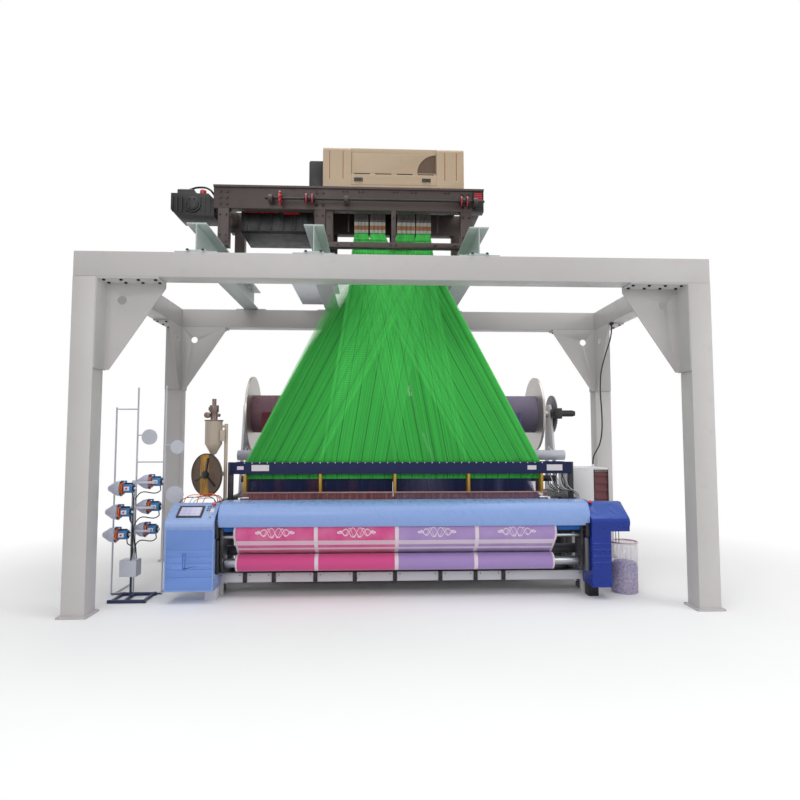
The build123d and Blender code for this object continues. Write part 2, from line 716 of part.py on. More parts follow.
def hood_door():
    """The hinged front panel: a slotted face above, a lower strip with two grips."""
    left = HOOD_LEFT + HOOD_END_BLOCK_LEFT + DOOR_GAP
    right = HOOD_RIGHT - HOOD_END_BLOCK_RIGHT - DOOR_GAP
    face = HOOD_FRONT + HOOD_RECESS
    door = block(left, right, face, face + HOOD_DOOR_THICK, HOOD_DOOR_BOTTOM + DOOR_GAP, HOOD_DOOR_TOP - DOOR_GAP)
    low = block(left, right, HOOD_FRONT, face, HOOD_DOOR_BOTTOM + DOOR_GAP, HOOD_LEDGE_Z)
    low = chamfer(low.edges().filter_by(Axis.X).group_by(Axis.Y)[0], 6)
    door += low
    pitch = (right - left) / HOOD_SLOTS
    for i in range(HOOD_SLOTS):
        x = left + pitch * (i + 0.5)
        door -= block(x - pitch * 0.38, x + pitch * 0.38, face - 1, face + 8, HOOD_LEDGE_Z + 6, HOOD_LEDGE_Z + 22)
    corner = right - 6
    window = Plane.XZ.offset(-face - 8) * Pos(corner, HOOD_LEDGE_Z + 30) * Circle(215)
    window = extrude(window, 9, dir=(0, -1, 0))
    window &= block(corner - 215, corner, face - 1, face + 8, HOOD_LEDGE_Z + 30, HOOD_DOOR_TOP - 12)
    door -= window
    for x in (-429, 342):
        door -= block(x - 48, x + 48, HOOD_FRONT - 1, HOOD_FRONT + 12, HOOD_LEDGE_Z - 90, HOOD_LEDGE_Z - 42)
        door += block(x - 40, x + 40, HOOD_FRONT + 4, HOOD_FRONT + 12, HOOD_LEDGE_Z - 64, HOOD_LEDGE_Z - 52)
    return door


def jacquard_side_box():
    """The control box at the hood's left end."""
    y0 = HOOD_FRONT + 60
    box = block(SIDE_BOX_LEFT, HOOD_LEFT, y0, y0 + SIDE_BOX_DEPTH, FRAME_TOP, SIDE_BOX_TOP)
    box = chamfer(box.edges().filter_by(Axis.Y).group_by(Axis.X)[0], 16)
    return box


def hook_modules():
    """The lifting machine inside the hood, and the four banks of hooks that hang under it."""
    y0, y1 = HARNESS_Y - HARNESS_TOP_DEPTH / 2, HARNESS_Y + HARNESS_TOP_DEPTH / 2
    body = block(HOOD_LEFT + 100, HOOD_RIGHT - 100, HOOD_FRONT + 110, HOOD_BACK - 110, FRAME_TOP, MACHINE_BODY_TOP)
    parts = [body]
    for left, right in MODULE_SPANS:
        bank = block(left, right, y0, y1, MODULE_BOTTOM, FRAME_TOP)
        blocks = 4
        for i in range(1, blocks):
            x = left + (right - left) * i / blocks
            bank -= block(x - 2, x + 2, y0, y0 + 12, MODULE_BOTTOM, FRAME_BEAM_BOTTOM)
        parts.append(bank)
    return group(*parts)


# Harness
def bay_edges(bay):
    """The inner edges of one bay between two dividers."""
    left = (bay - 2) * DIVIDER_PITCH + DIVIDER_WIDTH / 2 + BAY_MARGIN
    right = (bay - 1) * DIVIDER_PITCH - DIVIDER_WIDTH / 2 - BAY_MARGIN
    return left, right


def share(span, index, fill=CORD_FILL):
    """The index-th of the equal shares of a span, with a space left between neighbours."""
    pitch = (span[1] - span[0]) / CORDS_PER_MODULE
    middle = span[0] + pitch * (index + 0.5)
    return middle - pitch * fill / 2, middle + pitch * fill / 2


def layer_depth(layer, depth):
    """The front and back of one of the harness's two layers."""
    if layer == 0:
        return HARNESS_Y - depth / 2, HARNESS_Y - HARNESS_LAYER_GAP / 2
    return HARNESS_Y + HARNESS_LAYER_GAP / 2, HARNESS_Y + depth / 2


def cord_bundle(module, index, layer):
    """One bundle of harness cords: straight down, fanned out, and straight down through the board."""
    span, bay = MODULE_SPANS[module], bay_edges(module)
    top, foot = share(span, index), share(bay, index)
    drop = (MODULE_BOTTOM - HARNESS_KNEE_Z) / (MODULE_BOTTOM - COMBER_BOARD_Z)
    spread = (sum(foot) - sum(top)) / 2
    knee_shift = HARNESS_KNEE_SPREAD * spread / (DIVIDER_PITCH * 2)
    knee = (top[0] + knee_shift, top[1] + knee_shift)
    top_y, foot_y = layer_depth(layer, HARNESS_TOP_DEPTH), layer_depth(layer, HARNESS_FOOT_DEPTH)
    knee_y = tuple(a + (b - a) * drop / 4 for a, b in zip(top_y, foot_y))
    over_board = COMBER_BOARD_Z + COMBER_BOARD_THICK + 30
    levels = (
        (MODULE_BOTTOM, top, top_y), (HARNESS_KNEE_Z, knee, knee_y),
        (over_board, foot, foot_y), (HARNESS_FOOT_Z, foot, foot_y),
    )
    sections = []
    for z, xs, ys in levels:
        face = Rectangle(xs[1] - xs[0], ys[1] - ys[0])
        sections.append(Pos((xs[0] + xs[1]) / 2, (ys[0] + ys[1]) / 2, z) * face)
    return loft(sections, ruled=True)


def harness_cords():
    """The harness as two layers of cord bundles that fan out from the hook banks."""
    modules = range(len(MODULE_SPANS))
    return group(*[cord_bundle(m, i, layer) for layer in (0, 1) for m in modules for i in range(CORDS_PER_MODULE)])


def bay_bars(depths, z0, z1, fill, grow=0):
    """Upright bars under every cord bundle, in the layers whose depths are given, each grown to the sides."""
    bars = []
    for bay in range(len(MODULE_SPANS)):
        for i in range(CORDS_PER_MODULE):
            x0, x1 = share(bay_edges(bay), i, fill)
            bars += [block(x0 - grow, x1 + grow, y0 - grow, y1 + grow, z0, z1) for y0, y1 in depths]
    return bars


def comber_frame():
    """The rails that frame the comber board, their end blocks, and the slotted board itself."""
    t = COMBER_RAIL_THICK
    front = block(COMBER_LEFT, COMBER_RIGHT, rail_front_y - t, rail_front_y, COMBER_BOTTOM, COMBER_TOP)
    post_right = SIDE_RIGHT_X - POST_WIDTH
    back_left, back_right = side_left_inner + POST_WIDTH + 15, post_right - 15
    back = block(back_left, back_right, rail_back_y, rail_back_y + t, COMBER_BOTTOM, COMBER_TOP)
    ends = [block(x, x + t, rail_front_y, rail_back_y, COMBER_BOTTOM, COMBER_TOP)
            for x in (back_left, back_right - t)]
    board = block(back_left + t, back_right - t, rail_front_y, rail_back_y,
                  COMBER_BOARD_Z, COMBER_BOARD_Z + COMBER_BOARD_THICK)
    depth = HARNESS_FOOT_DEPTH / 2
    slots = bay_bars([(HARNESS_Y - depth, HARNESS_Y + depth)], COMBER_BOARD_Z - 1,
                     COMBER_BOARD_Z + COMBER_BOARD_THICK + 1, CORD_FILL, RUN_GAP)
    return group(front, back, *ends, board - slots)


def heddle_bank():
    """The heddles, in two layers, one bar for each bundle of cords."""
    depths = [layer_depth(layer, HARNESS_FOOT_DEPTH) for layer in (0, 1)]
    return group(*bay_bars(depths, HEDDLE_BOTTOM, HARNESS_FOOT_Z, CORD_FILL))


def heddle_dividers():
    """Five plates under the comber rails that part the bays."""
    half, bays = DIVIDER_WIDTH / 2, len(MODULE_SPANS)
    y0, y1 = rail_front_y - COMBER_RAIL_THICK, rail_back_y + COMBER_RAIL_THICK
    places = [(i - bays / 2) * DIVIDER_PITCH for i in range(bays + 1)]
    return group(*[block(x - half, x + half, y0, y1, HEDDLE_BOTTOM, COMBER_BOTTOM) for x in places])


def return_springs():
    """The springs that pull the heddles down."""
    depths = [(HARNESS_Y - HARNESS_FOOT_DEPTH / 2, HARNESS_Y + HARNESS_FOOT_DEPTH / 2)]
    return group(*bay_bars(depths, SPRING_BOTTOM, SPRING_TOP, SPRING_FILL))


# Loom frame
def side_frame(x):
    """A thick side plate with two windows, bearing holes and two feet."""
    outline = [
        (SIDE_FRONT, SIDE_BOTTOM), (SIDE_FRONT, SIDE_TOP), (SIDE_BACK - 60, SIDE_TOP),
        (SIDE_BACK, SIDE_TOP - 140), (SIDE_BACK, SIDE_BOTTOM),
    ]
    plate = side_profile(outline, x, x + SIDE_PLATE)
    for y0, y1 in ((-370, -30), (60, 400)):
        window = block(x - 1, x + SIDE_PLATE + 1, y0, y1, SIDE_WINDOW_BOTTOM, SIDE_WINDOW_TOP)
        plate -= fillet(window.edges().filter_by(Axis.X), 50)
    plate -= bar_x(x - 1, x + SIDE_PLATE + 1, SLEY_PIVOT_Y, SLEY_PIVOT_Z, SLEY_JOURNAL_R + RUN_GAP)
    plate -= bar_x(x - 1, x + SIDE_PLATE + 1, GROUND_Y, GROUND_Z, BEAM_JOURNAL_R + RUN_GAP)
    flare = 20
    for y in (SIDE_FRONT + 20, SIDE_BACK - 20 - FOOT_LENGTH):
        plate += block(x - flare, x + SIDE_PLATE + flare, y, y + FOOT_LENGTH, 0, FOOT_HEIGHT)
    return plate


def bar_post(x):
    """An upright that holds the comber frame, bolted inside a side plate."""
    return block(x, x + POST_WIDTH, rail_front_y, rail_front_y + POST_DEPTH, POST_BOTTOM, COMBER_TOP)


def cross_members():
    """The comber posts, the spring floor, the breast beam, two rear ties, the guide tube and the press bar."""
    left, right = side_left_inner, SIDE_RIGHT_X
    parts = [bar_post(left), bar_post(right - POST_WIDTH)]
    parts.append(block(left + POST_WIDTH, right - POST_WIDTH, rail_front_y, rail_back_y,
                       SPRING_BOTTOM - SPRING_FLOOR_HEIGHT, SPRING_BOTTOM))
    parts.append(block(left, right, BREAST_BEAM_FRONT, BREAST_BEAM_FRONT + BREAST_BEAM_DEPTH,
                       BREAST_BEAM_BOTTOM, BREAST_BEAM_BOTTOM + BREAST_BEAM_HEIGHT))
    parts.append(bar_x(left, right, 20, 120, 50))
    parts.append(bar_x(left, right, 240, 930, 40))
    parts.append(bar_x(stand_left_x + STAND_THICK, stand_right_x, GUIDE_TUBE_Y, GUIDE_TUBE_Z, GUIDE_TUBE_R))
    parts.append(bar_x(FRONT_BRACKET_LEFT + FRONT_BRACKET_THICK, FRONT_BRACKET_RIGHT,
                       PRESS_BAR_Y, PRESS_BAR_Z, PRESS_BAR_R))
    for x in (FRONT_BRACKET_LEFT, FRONT_BRACKET_RIGHT):
        parts.append(front_bracket(x))
    return group(*parts)


def front_bracket(x):
    """A plate in front of the breast beam that carries the take-up roller and the cloth roll."""
    outline = [
        (BREAST_BEAM_FRONT, BREAST_BEAM_BOTTOM + BREAST_BEAM_HEIGHT), (BREAST_BEAM_FRONT, 260),
        (ROLL_Y - 60, 290), (ROLL_Y - 95, 400), (PRESS_BAR_Y - 55, 640), (TAKE_UP_Y - 60, 760),
        (TAKE_UP_Y - 20, 850),
    ]
    plate = side_profile(outline, x, x + FRONT_BRACKET_THICK)
    for y, z, r in ((TAKE_UP_Y, TAKE_UP_Z, JOURNAL_R), (ROLL_Y, ROLL_Z, JOURNAL_R)):
        plate -= bar_x(x - 1, x + FRONT_BRACKET_THICK + 1, y, z, r + RUN_GAP)
    return plate


def front_base_beam():
    """The low front beam with its panel posts, and the end plates that slant down to the feet."""
    y0, y1 = BASE_BEAM_FRONT, BASE_BEAM_FRONT + BASE_BEAM_DEPTH
    z0, z1 = BASE_BEAM_BOTTOM, BASE_BEAM_BOTTOM + BASE_BEAM_HEIGHT
    left, right = SIDE_LEFT_X, SIDE_RIGHT_X + SIDE_PLATE
    beam = block(left, right, y0, y1, z0, z1)
    for x in BASE_PANEL_POSTS:
        beam += block(x - 22, x + 22, y0 - 14, y0, z0, z1)
    feet = [block(x0, x1, y0, y1, 0, z0) for x0, x1 in ((left, left + 110), (right - 110, right))]
    return group(beam, *feet)


# Sley and reed
def sley():
    """The rocking shaft with its swords and the beam that carries the reed."""
    y, z = SLEY_PIVOT_Y, SLEY_PIVOT_Z
    left, right = side_left_inner, SIDE_RIGHT_X
    shaft = bar_x(left + 8, right - 8, y, z, SLEY_TUBE_R)
    shaft += bar_x(left - SIDE_PLATE, right + SIDE_PLATE, y, z, SLEY_JOURNAL_R)
    half_width = WEAVING_WIDTH / 2 + 60
    top_y0, top_y1 = SLEY_BEAM_FRONT, SLEY_BEAM_FRONT + SLEY_BEAM_DEPTH
    beam = block(-half_width, half_width, top_y0, top_y1, SLEY_BEAM_BOTTOM, SLEY_BEAM_TOP)
    outline = [
        (y - SWORD_WIDTH / 2 - 20, z), (top_y0 + 10, SLEY_BEAM_BOTTOM), (top_y1 - 10, SLEY_BEAM_BOTTOM),
        (y + SWORD_WIDTH / 2 + 20, z),
    ]
    for i in range(SWORDS):
        x = -half_width + 60 + (2 * half_width - 120) * i / (SWORDS - 1)
        shaft += side_profile(outline, x - SWORD_THICK / 2, x + SWORD_THICK / 2)
    groove_x = half_width + 1
    y0 = REED_FRONT
    beam -= block(-groove_x, groove_x, y0, y0 + REED_THICK, SLEY_BEAM_TOP - 20, SLEY_BEAM_TOP + 1)
    return group(shaft, beam)


def reed():
    """The reed: two bars joined by dents that stand in the gaps of the warp."""
    edges = [bay_edges(bay) for bay in range(len(MODULE_SPANS))]
    left, right = edges[0][0] - 20, edges[-1][1] + 20
    y0, y1 = REED_FRONT, REED_FRONT + REED_THICK
    low = SLEY_BEAM_TOP - 20
    shape = block(left, right, y0, y1, low, low + 56) + block(left, right, y0, y1, REED_TOP - REED_BAR, REED_TOP)
    dents = [left + REED_DENT, right - REED_DENT]
    for edge in edges:
        pitch = (edge[1] - edge[0]) / CORDS_PER_MODULE
        dents += [edge[0] + pitch * i for i in range(1, CORDS_PER_MODULE)]
    dents += [edge[1] + DIVIDER_WIDTH / 2 + BAY_MARGIN for edge in edges[:-1]]
    for x in dents:
        shape += block(x - REED_DENT / 2, x + REED_DENT / 2, y0, y1, low + 56, REED_TOP - REED_BAR)
    return shape


def temples():
    """The two temples that hold the cloth's edges out, on arms from the breast beam."""
    parts = []
    for x in (-WEAVING_WIDTH / 2 - 14, WEAVING_WIDTH / 2 + 14):
        sign = -1 if x < 0 else 1
        x0, x1 = sorted((x, x + sign * 120))
        arm = block(x0, x1, BREAST_BEAM_FRONT + 5, BREAST_BEAM_FRONT + 45,
                    BREAST_BEAM_BOTTOM + BREAST_BEAM_HEIGHT, FELL_Z + 6)
        arm += block(x0, x1, BREAST_BEAM_FRONT + 5, FELL_Y - 20, FELL_Z - 18, FELL_Z + 6)
        tip0, tip1 = sorted((x + sign * 6, x - sign * 90))
        arm += bar_x(tip0, tip1, FELL_Y - 45, FELL_Z + 24, 13)
        arm += block(*sorted((x + sign * 6, x + sign * 30)), FELL_Y - 60, FELL_Y - 30, FELL_Z - 18, FELL_Z + 30)
        parts.append(arm)
    return group(*parts)


# Warp and cloth
def warp_path():
    """The pile warp from its beam, under the tension roll, and on to the cloth."""
    lift = WARP_THICK / 2 + 3
    roll_r = TENSION_R + lift
    beam_r = PILE_WARP_R + WARP_THICK / 2 + SHEET_GAP
    dy, dz = TENSION_Y - PILE_Y, TENSION_Z - PILE_Z
    lean = atan2(dz, dy) - acos((beam_r + roll_r) / hypot(dy, dz))
    on_beam = (PILE_Y + beam_r * cos(lean), PILE_Z + beam_r * sin(lean))
    first = lean + pi
    to_y, to_z = WARP_REST_Y - TENSION_Y, WARP_LINE_Z + 2 - TENSION_Z
    last = atan2(to_z, to_y) + acos(roll_r / hypot(to_y, to_z))
    first -= 2 * pi * round((first - last) / (2 * pi))
    spots = [first + (last - first) * k / 3 for k in range(4)]
    around = [(TENSION_Y + roll_r * cos(a), TENSION_Z + roll_r * sin(a)) for a in spots]
    return [on_beam, *around, (WARP_REST_Y, WARP_LINE_Z + 2), (HARNESS_Y, WARP_LINE_Z), (FELL_Y + 2, FELL_Z)]


def warp_sheet():
    """The pile warp as ribbons that pass between the reed's dents, and the ground warp under it."""
    parts = []
    outline = strip_outline(warp_path(), WARP_THICK)
    for bay in range(len(MODULE_SPANS)):
        for i in range(CORDS_PER_MODULE):
            x0, x1 = share(bay_edges(bay), i, CORD_FILL)
            parts.append(side_profile(outline, x0, x1))
    low_r = GROUND_WARP_R + WARP_THICK / 2 + SHEET_GAP
    guide_r = GUIDE_TUBE_R + WARP_THICK / 2 + SHEET_GAP
    dy, dz = GUIDE_TUBE_Y - GROUND_Y, GUIDE_TUBE_Z - GROUND_Z
    lean = atan2(dz, dy) - acos((low_r - guide_r) / hypot(dy, dz))
    start = (GROUND_Y + low_r * cos(lean), GROUND_Z + low_r * sin(lean))
    guide_rise = 4
    over = []
    for a in (lean, (lean + pi / 2) / 2 + 0.1, pi / 2 + 0.25):
        r = guide_r + guide_rise
        over.append((GUIDE_TUBE_Y + r * cos(a), GUIDE_TUBE_Z + r * sin(a)))
    end = (WARP_REST_Y + 5, WARP_LINE_Z - 4)
    path = [start, *sorted(over, key=lambda p: -p[0]), end]
    for bay in range(len(MODULE_SPANS)):
        x0, x1 = bay_edges(bay)
        parts.append(side_profile(strip_outline(path, WARP_THICK), x0, x1))
    return group(*parts)


def cloth():
    """The terry cloth from the fell, over the breast beam, round the take-up roller and down to its roll."""
    wrap = TAKE_UP_R + CLOTH_THICK / 2 + SHEET_GAP
    roll = ROLL_R + CLOTH_THICK / 2 + SHEET_GAP
    meet = radians(28)
    path = [
        (FELL_Y - 1, FELL_Z), (FELL_Y - 80, FELL_Z - 2), (-735, 985), (-850, 925), (-922, 850),
        (TAKE_UP_Y - wrap - 38, TAKE_UP_Z + 20), (-950, 700), (-948, 640), (-900, 560), (-800, 498),
        (ROLL_Y + roll * cos(meet) - 16, ROLL_Z + roll * sin(meet) + 32),
        (ROLL_Y + roll * cos(meet), ROLL_Z + roll * sin(meet)),
    ]
    return smooth_strip(path, CLOTH_THICK, -WEAVING_WIDTH / 2, WEAVING_WIDTH / 2)


def cloth_roll():
    """The wound cloth on its tube, with a journal at each end."""
    half = WEAVING_WIDTH / 2
    left, right = FRONT_BRACKET_LEFT, FRONT_BRACKET_RIGHT + FRONT_BRACKET_THICK
    shape = bar_x(-half, half, ROLL_Y, ROLL_Z, ROLL_R)
    shape += bar_x(left + FRONT_BRACKET_THICK + 4, right - FRONT_BRACKET_THICK - 4, ROLL_Y, ROLL_Z, ROLL_TUBE_R)
    return shape + bar_x(left, right, ROLL_Y, ROLL_Z, JOURNAL_R)


def take_up_roller():
    """The take-up roller, with a journal at each end."""
    left, right = FRONT_BRACKET_LEFT, FRONT_BRACKET_RIGHT + FRONT_BRACKET_THICK
    shape = bar_x(left + FRONT_BRACKET_THICK + 4, right - FRONT_BRACKET_THICK - 4, TAKE_UP_Y, TAKE_UP_Z, TAKE_UP_R)
    return shape + bar_x(left, right, TAKE_UP_Y, TAKE_UP_Z, JOURNAL_R)


# Warp beams and their stands
def flange(x, y, z, r):
    """A beam flange with a raised rim and hub on its outer side."""
    disc = bar_x(x, x + FLANGE_THICK, y, z, r)
    out = -1 if x < 0 else 1
    face = x if out < 0 else x + FLANGE_THICK
    x0, x1 = sorted((face, face + out * FLANGE_RIM))
    rim = bar_x(x0, x1, y, z, r) - bar_x(x0, x1, y, z, r - 24)
    return disc + rim + bar_x(x0, x1, y, z, r * 0.3)


def warp_beam(y, z, flange_r, core_r, gear_x):
    """A core between two flanges, with journals that run out through the frame, and its gear on the right one."""
    left, right = FLANGE_LEFT_X - FLANGE_THICK, FLANGE_RIGHT_X + FLANGE_THICK
    right_end = gear_x + LET_OFF_GEAR_WIDTH + 12
    geared = bar_x(right + FLANGE_RIM, right_end, y, z, BEAM_JOURNAL_R)
    geared += let_off_gear(gear_x, y, z, LET_OFF_GEAR_R)
    return group(
        bar_x(FLANGE_LEFT_X, FLANGE_RIGHT_X, y, z, core_r),
        flange(left, y, z, flange_r), flange(FLANGE_RIGHT_X, y, z, flange_r),
        bar_x(SIDE_LEFT_X, left - FLANGE_RIM, y, z, BEAM_JOURNAL_R), geared,
    )


def let_off_gear(x, y, z, r):
    """A toothed wheel on the end of a warp beam."""
    points = []
    for i in range(LET_OFF_TEETH):
        for part, radius in ((-0.3, r - LET_OFF_TOOTH), (-0.16, r), (0.16, r), (0.3, r - LET_OFF_TOOTH)):
            a = 2 * pi * (i + part) / LET_OFF_TEETH
            points.append((y + radius * cos(a), z + radius * sin(a)))
    return side_profile(points, x, x + LET_OFF_GEAR_WIDTH)


def pile_beam():
    """The upper warp beam, with its let-off gear outside the right stand."""
    gear_x = stand_right_x + STAND_THICK + 10
    return warp_beam(PILE_Y, PILE_Z, PILE_FLANGE_R, PILE_BARREL_R, gear_x)


def wound_warp(y, z, r):
    """The warp wound on a beam, from flange to flange."""
    coil = bar_x(FLANGE_LEFT_X, FLANGE_RIGHT_X, y, z, r)
    return coil - bar_x(FLANGE_LEFT_X - 1, FLANGE_RIGHT_X + 1, y, z, PILE_BARREL_R + RUN_GAP)


def pile_warp():
    """The pile warp on the upper beam."""
    return wound_warp(PILE_Y, PILE_Z, PILE_WARP_R)


def ground_beam():
    """The lower warp beam with the ground warp on it, and its gear outside the right side plate."""
    gear_x = SIDE_RIGHT_X + SIDE_PLATE + 10
    return warp_beam(GROUND_Y, GROUND_Z, GROUND_FLANGE_R, GROUND_WARP_R, gear_x)


def beam_stand(x):
    """A tapered plate on a side frame that carries the upper beam and the tension roll's pivot."""
    outline = [
        (420, SIDE_TOP), (PILE_Y - 110, STAND_TOP - 40), (PILE_Y - 70, STAND_TOP), (PILE_Y + 70, STAND_TOP),
        (PILE_Y + 110, STAND_TOP - 40), (SIDE_BACK - 70, SIDE_TOP),
    ]
    plate = side_profile(outline, x, x + STAND_THICK)
    for y, z, r in ((PILE_Y, PILE_Z, BEAM_JOURNAL_R), (TENSION_PIVOT_Y, TENSION_PIVOT_Z, TENSION_PIVOT_R)):
        plate -= bar_x(x - 1, x + STAND_THICK + 1, y, z, r + RUN_GAP)
    window = block(x - 1, x + STAND_THICK + 1, 560, 820, SIDE_TOP + 90, SIDE_TOP + 420)
    return plate - fillet(window.edges().filter_by(Axis.X), 40)


def beam_stands():
    """The two beam stands."""
    return group(beam_stand(stand_left_x), beam_stand(stand_right_x))


def let_off_motor(x, y, z, depth, height):
    """One let-off drive: a worm housing on a plate at x, with its motor outside it."""
    housing = block(x, x + WORM_HOUSING_WIDTH, y - depth / 2, y + depth / 2, z - height / 2, z + height / 2)
    housing = chamfer(housing.edges().filter_by(Axis.X), 12)
    face = x + WORM_HOUSING_WIDTH
    motor_end = face + LET_OFF_MOTOR_LENGTH
    housing += bar_x(face, motor_end, y, z, LET_OFF_MOTOR_R)
    return housing + bar_x(motor_end, motor_end + 25, y, z, LET_OFF_MOTOR_R - 8)


def let_off_motors():
    """Two let-off drives: one in front of the upper beam's gear, one above the lower beam's gear."""
    x, away = stand_right_x + STAND_THICK, LET_OFF_GEAR_R + 4 + WORM_HOUSING_DEPTH / 2
    upper = let_off_motor(x, PILE_Y - away, PILE_Z, WORM_HOUSING_DEPTH, WORM_HOUSING_LENGTH)
    reach = WORM_HOUSING_LENGTH / 2 - 10
    arm = block(stand_right_x, x, PILE_Y - away - WORM_HOUSING_DEPTH / 2, PILE_Y - 106, PILE_Z - reach, PILE_Z + reach)
    upper += arm - beam_stand(stand_right_x)
    lower = let_off_motor(SIDE_RIGHT_X + SIDE_PLATE, GROUND_Y, GROUND_Z + away, WORM_HOUSING_LENGTH, WORM_HOUSING_DEPTH)
    return group(upper, lower)


def tension_roll():
    """The back roll, its two arms, and their pivot pins in the stands."""
    left, right = side_left_inner + 5, SIDE_RIGHT_X - 5
    shape = bar_x(SIDE_LEFT_X + 10, TENSION_RIGHT, TENSION_Y, TENSION_Z, TENSION_R)
    for x, pin_end in ((left, stand_left_x), (right - TENSION_ARM_THICK, stand_right_x + STAND_THICK)):
        x0, x1 = x, x + TENSION_ARM_THICK
        dy, dz = TENSION_PIVOT_Y - TENSION_Y, TENSION_PIVOT_Z - TENSION_Z
        length = hypot(dy, dz)
        bar = Box(TENSION_ARM_THICK, length, 70)
        turn = degrees(atan2(dz, dy))
        shape += Pos((x0 + x1) / 2, TENSION_Y + dy / 2, TENSION_Z + dz / 2) * Rot(turn, 0, 0) * bar
        shape += bar_x(x0, x1, TENSION_PIVOT_Y, TENSION_PIVOT_Z, 40)
        shape += bar_x(min(x0, pin_end), max(x1, pin_end), TENSION_PIVOT_Y, TENSION_PIVOT_Z, TENSION_PIVOT_R)
    return shape


# Covers
def smooth_strip(points, thick, x0, x1):
    """A bent sheet that follows smooth edges, drawn out along X."""
    outline = strip_outline(points, thick)
    half = len(points)
    face = Plane.YZ * wall_between(outline[:half], list(reversed(outline[half:])))
    return Pos(x0, 0, 0) * extrude(face, x1 - x0, dir=(1, 0, 0))


def breast_cover():
    """The curved front cover over the breast beam."""
    points = [(-952, 775), (-970, 830), (-962, 930), (-915, 992), (-840, 1020), (-705, 1030)]
    shape = smooth_strip(points, COVER_WALL, COVER_LEFT, COVER_RIGHT)
    for x in (COVER_LEFT + 45, COVER_RIGHT - 42):
        shape += block(x, x + 40, -963, BREAST_BEAM_FRONT, 890, 925)
    return shape


def console_outline(front, bottom, back, inset):
    """The end view of a cabinet with a rounded lip and a sloping panel, taken in by inset."""
    y, z = front + inset, bottom + inset
    crest_y, crest_z = CABINET_CREST_Y + inset * 0.6, CABINET_CREST_Z - inset
    shoulder = CABINET_SHOULDER_Z - inset * 0.6
    lip = CABINET_LIP_Z + (CABINET_SHOULDER_Z - CABINET_LIP_Z) / 2
    edges = [
        Line((y, z), (y, CABINET_LIP_Z - 20)),
        Spline((y, CABINET_LIP_Z - 20), (y - 14, lip), (y + SHOULDER_SETBACK, shoulder)),
        Line((y + SHOULDER_SETBACK, shoulder), (crest_y, crest_z)),
        Line((crest_y, crest_z), (back - inset, crest_z)),
        Line((back - inset, crest_z), (back - inset, z)),
        Line((back - inset, z), (y, z)),
    ]
    return Plane.YZ * make_face(edges)


def console_shell(x0, x1, bottom):
    """A cabinet shell, open at the back."""
    wall = CABINET_WALL
    along = (1, 0, 0)
    outer = extrude(console_outline(CABINET_FRONT, bottom, CABINET_BACK, 0), x1 - x0, dir=along)
    inner = extrude(console_outline(CABINET_FRONT, bottom, CABINET_BACK, wall), x1 - x0 - 2 * wall, dir=along)
    back = block(x0 + wall, x1 - wall, CABINET_BACK - wall - 1, CABINET_BACK + 1, bottom + wall, CABINET_CREST_Z - wall)
    return Pos(x0, 0, 0) * outer - Pos(x0 + wall, 0, 0) * inner - back


def on_slope(x, along, height):
    """A place on the sloping panel: along it from the shoulder, and height above it."""
    lean = radians(slope_angle)
    y = shoulder_y + along * cos(lean) - height * sin(lean)
    z = CABINET_SHOULDER_Z + along * sin(lean) + height * cos(lean)
    return Pos(x, y, z) * Rot(slope_angle, 0, 0)


def left_cabinet():
    """The left cabinet's shell, with its door opening, foot and stop button collar."""
    shape = console_shell(CABINET_LEFT, CABINET_RIGHT, CABINET_BOTTOM)
    shape -= block(CABINET_LEFT + 14, CABINET_RIGHT - 14, CABINET_FRONT - 1, CABINET_FRONT + CABINET_WALL + 1,
                   CABINET_DOOR_BOTTOM, CABINET_DOOR_TOP)
    for z in (CABINET_DOOR_BOTTOM + 60, CABINET_DOOR_TOP - 60):
        lug = block(CABINET_LEFT + CABINET_WALL, CABINET_LEFT + 14, CABINET_FRONT + CABINET_WALL,
                    CABINET_FRONT + 26, z - 20, z + 20)
        shape += lug
    foot_right = CABINET_RIGHT - 8
    shape += block(foot_right - 120, foot_right, CABINET_BACK - 140, CABINET_BACK - 20, 0, CABINET_BOTTOM)
    shape += on_slope(KEY_X, 232, 6) * Cylinder(STOP_R * 0.8, 14)
    shape -= on_slope(KEY_X, 232, 0) * Cylinder(STOP_R * 0.5 + RUN_GAP, 60)
    for along in (40, 95):
        shape -= on_slope(KEY_X, along, 0) * Cylinder(KEY_R + RUN_GAP, 40)
    return shape


def left_cabinet_door():
    """The grooved front door of the left cabinet, with a grip recess and a lock."""
    left, right = CABINET_LEFT + 14 + DOOR_GAP, CABINET_RIGHT - 14 - DOOR_GAP
    y0 = CABINET_FRONT - 4
    y1 = y0 + CABINET_DOOR_THICK
    door = block(left, right, y0, y1, CABINET_DOOR_BOTTOM + DOOR_GAP, CABINET_DOOR_TOP - DOOR_GAP)
    for z in CABINET_GROOVES:
        groove = [(y0 - 1, z - 9), (y0 - 1, z + 9), (y0 + 6, z + 1), (y0 + 6, z - 1)]
        door -= side_profile(groove, left - 1, right + 1)
    door -= block(-2205, -2172, y0 - 1, y0 + 12, 362, 520)
    door += block(-2194, -2183, y0 - 2, y0 + 12, 376, 506)
    return door + bar_y(-2054, y0 - 6, y0, 384, 13)


def control_panel():
    """The display in its frame on the sloping panel."""
    frame = on_slope(PANEL_X, 128, PANEL_THICK / 2) * Box(PANEL_WIDTH, PANEL_LENGTH, PANEL_THICK)
    frame -= on_slope(PANEL_X, 128, PANEL_THICK) * Box(PANEL_WIDTH - 44, PANEL_LENGTH - 40, 8)
    return frame


def stop_button(x):
    """A mushroom stop button whose stem slides in its collar."""
    gap = STOP_TRAVEL + 1
    head = on_slope(x, 232, 13 + gap + 6) * Cylinder(STOP_R, 12)
    head = fillet(head.edges().group_by(Axis.Z)[-1], 3)
    return head + on_slope(x, 232, 13 + gap - 20) * Cylinder(STOP_R * 0.5, 44)


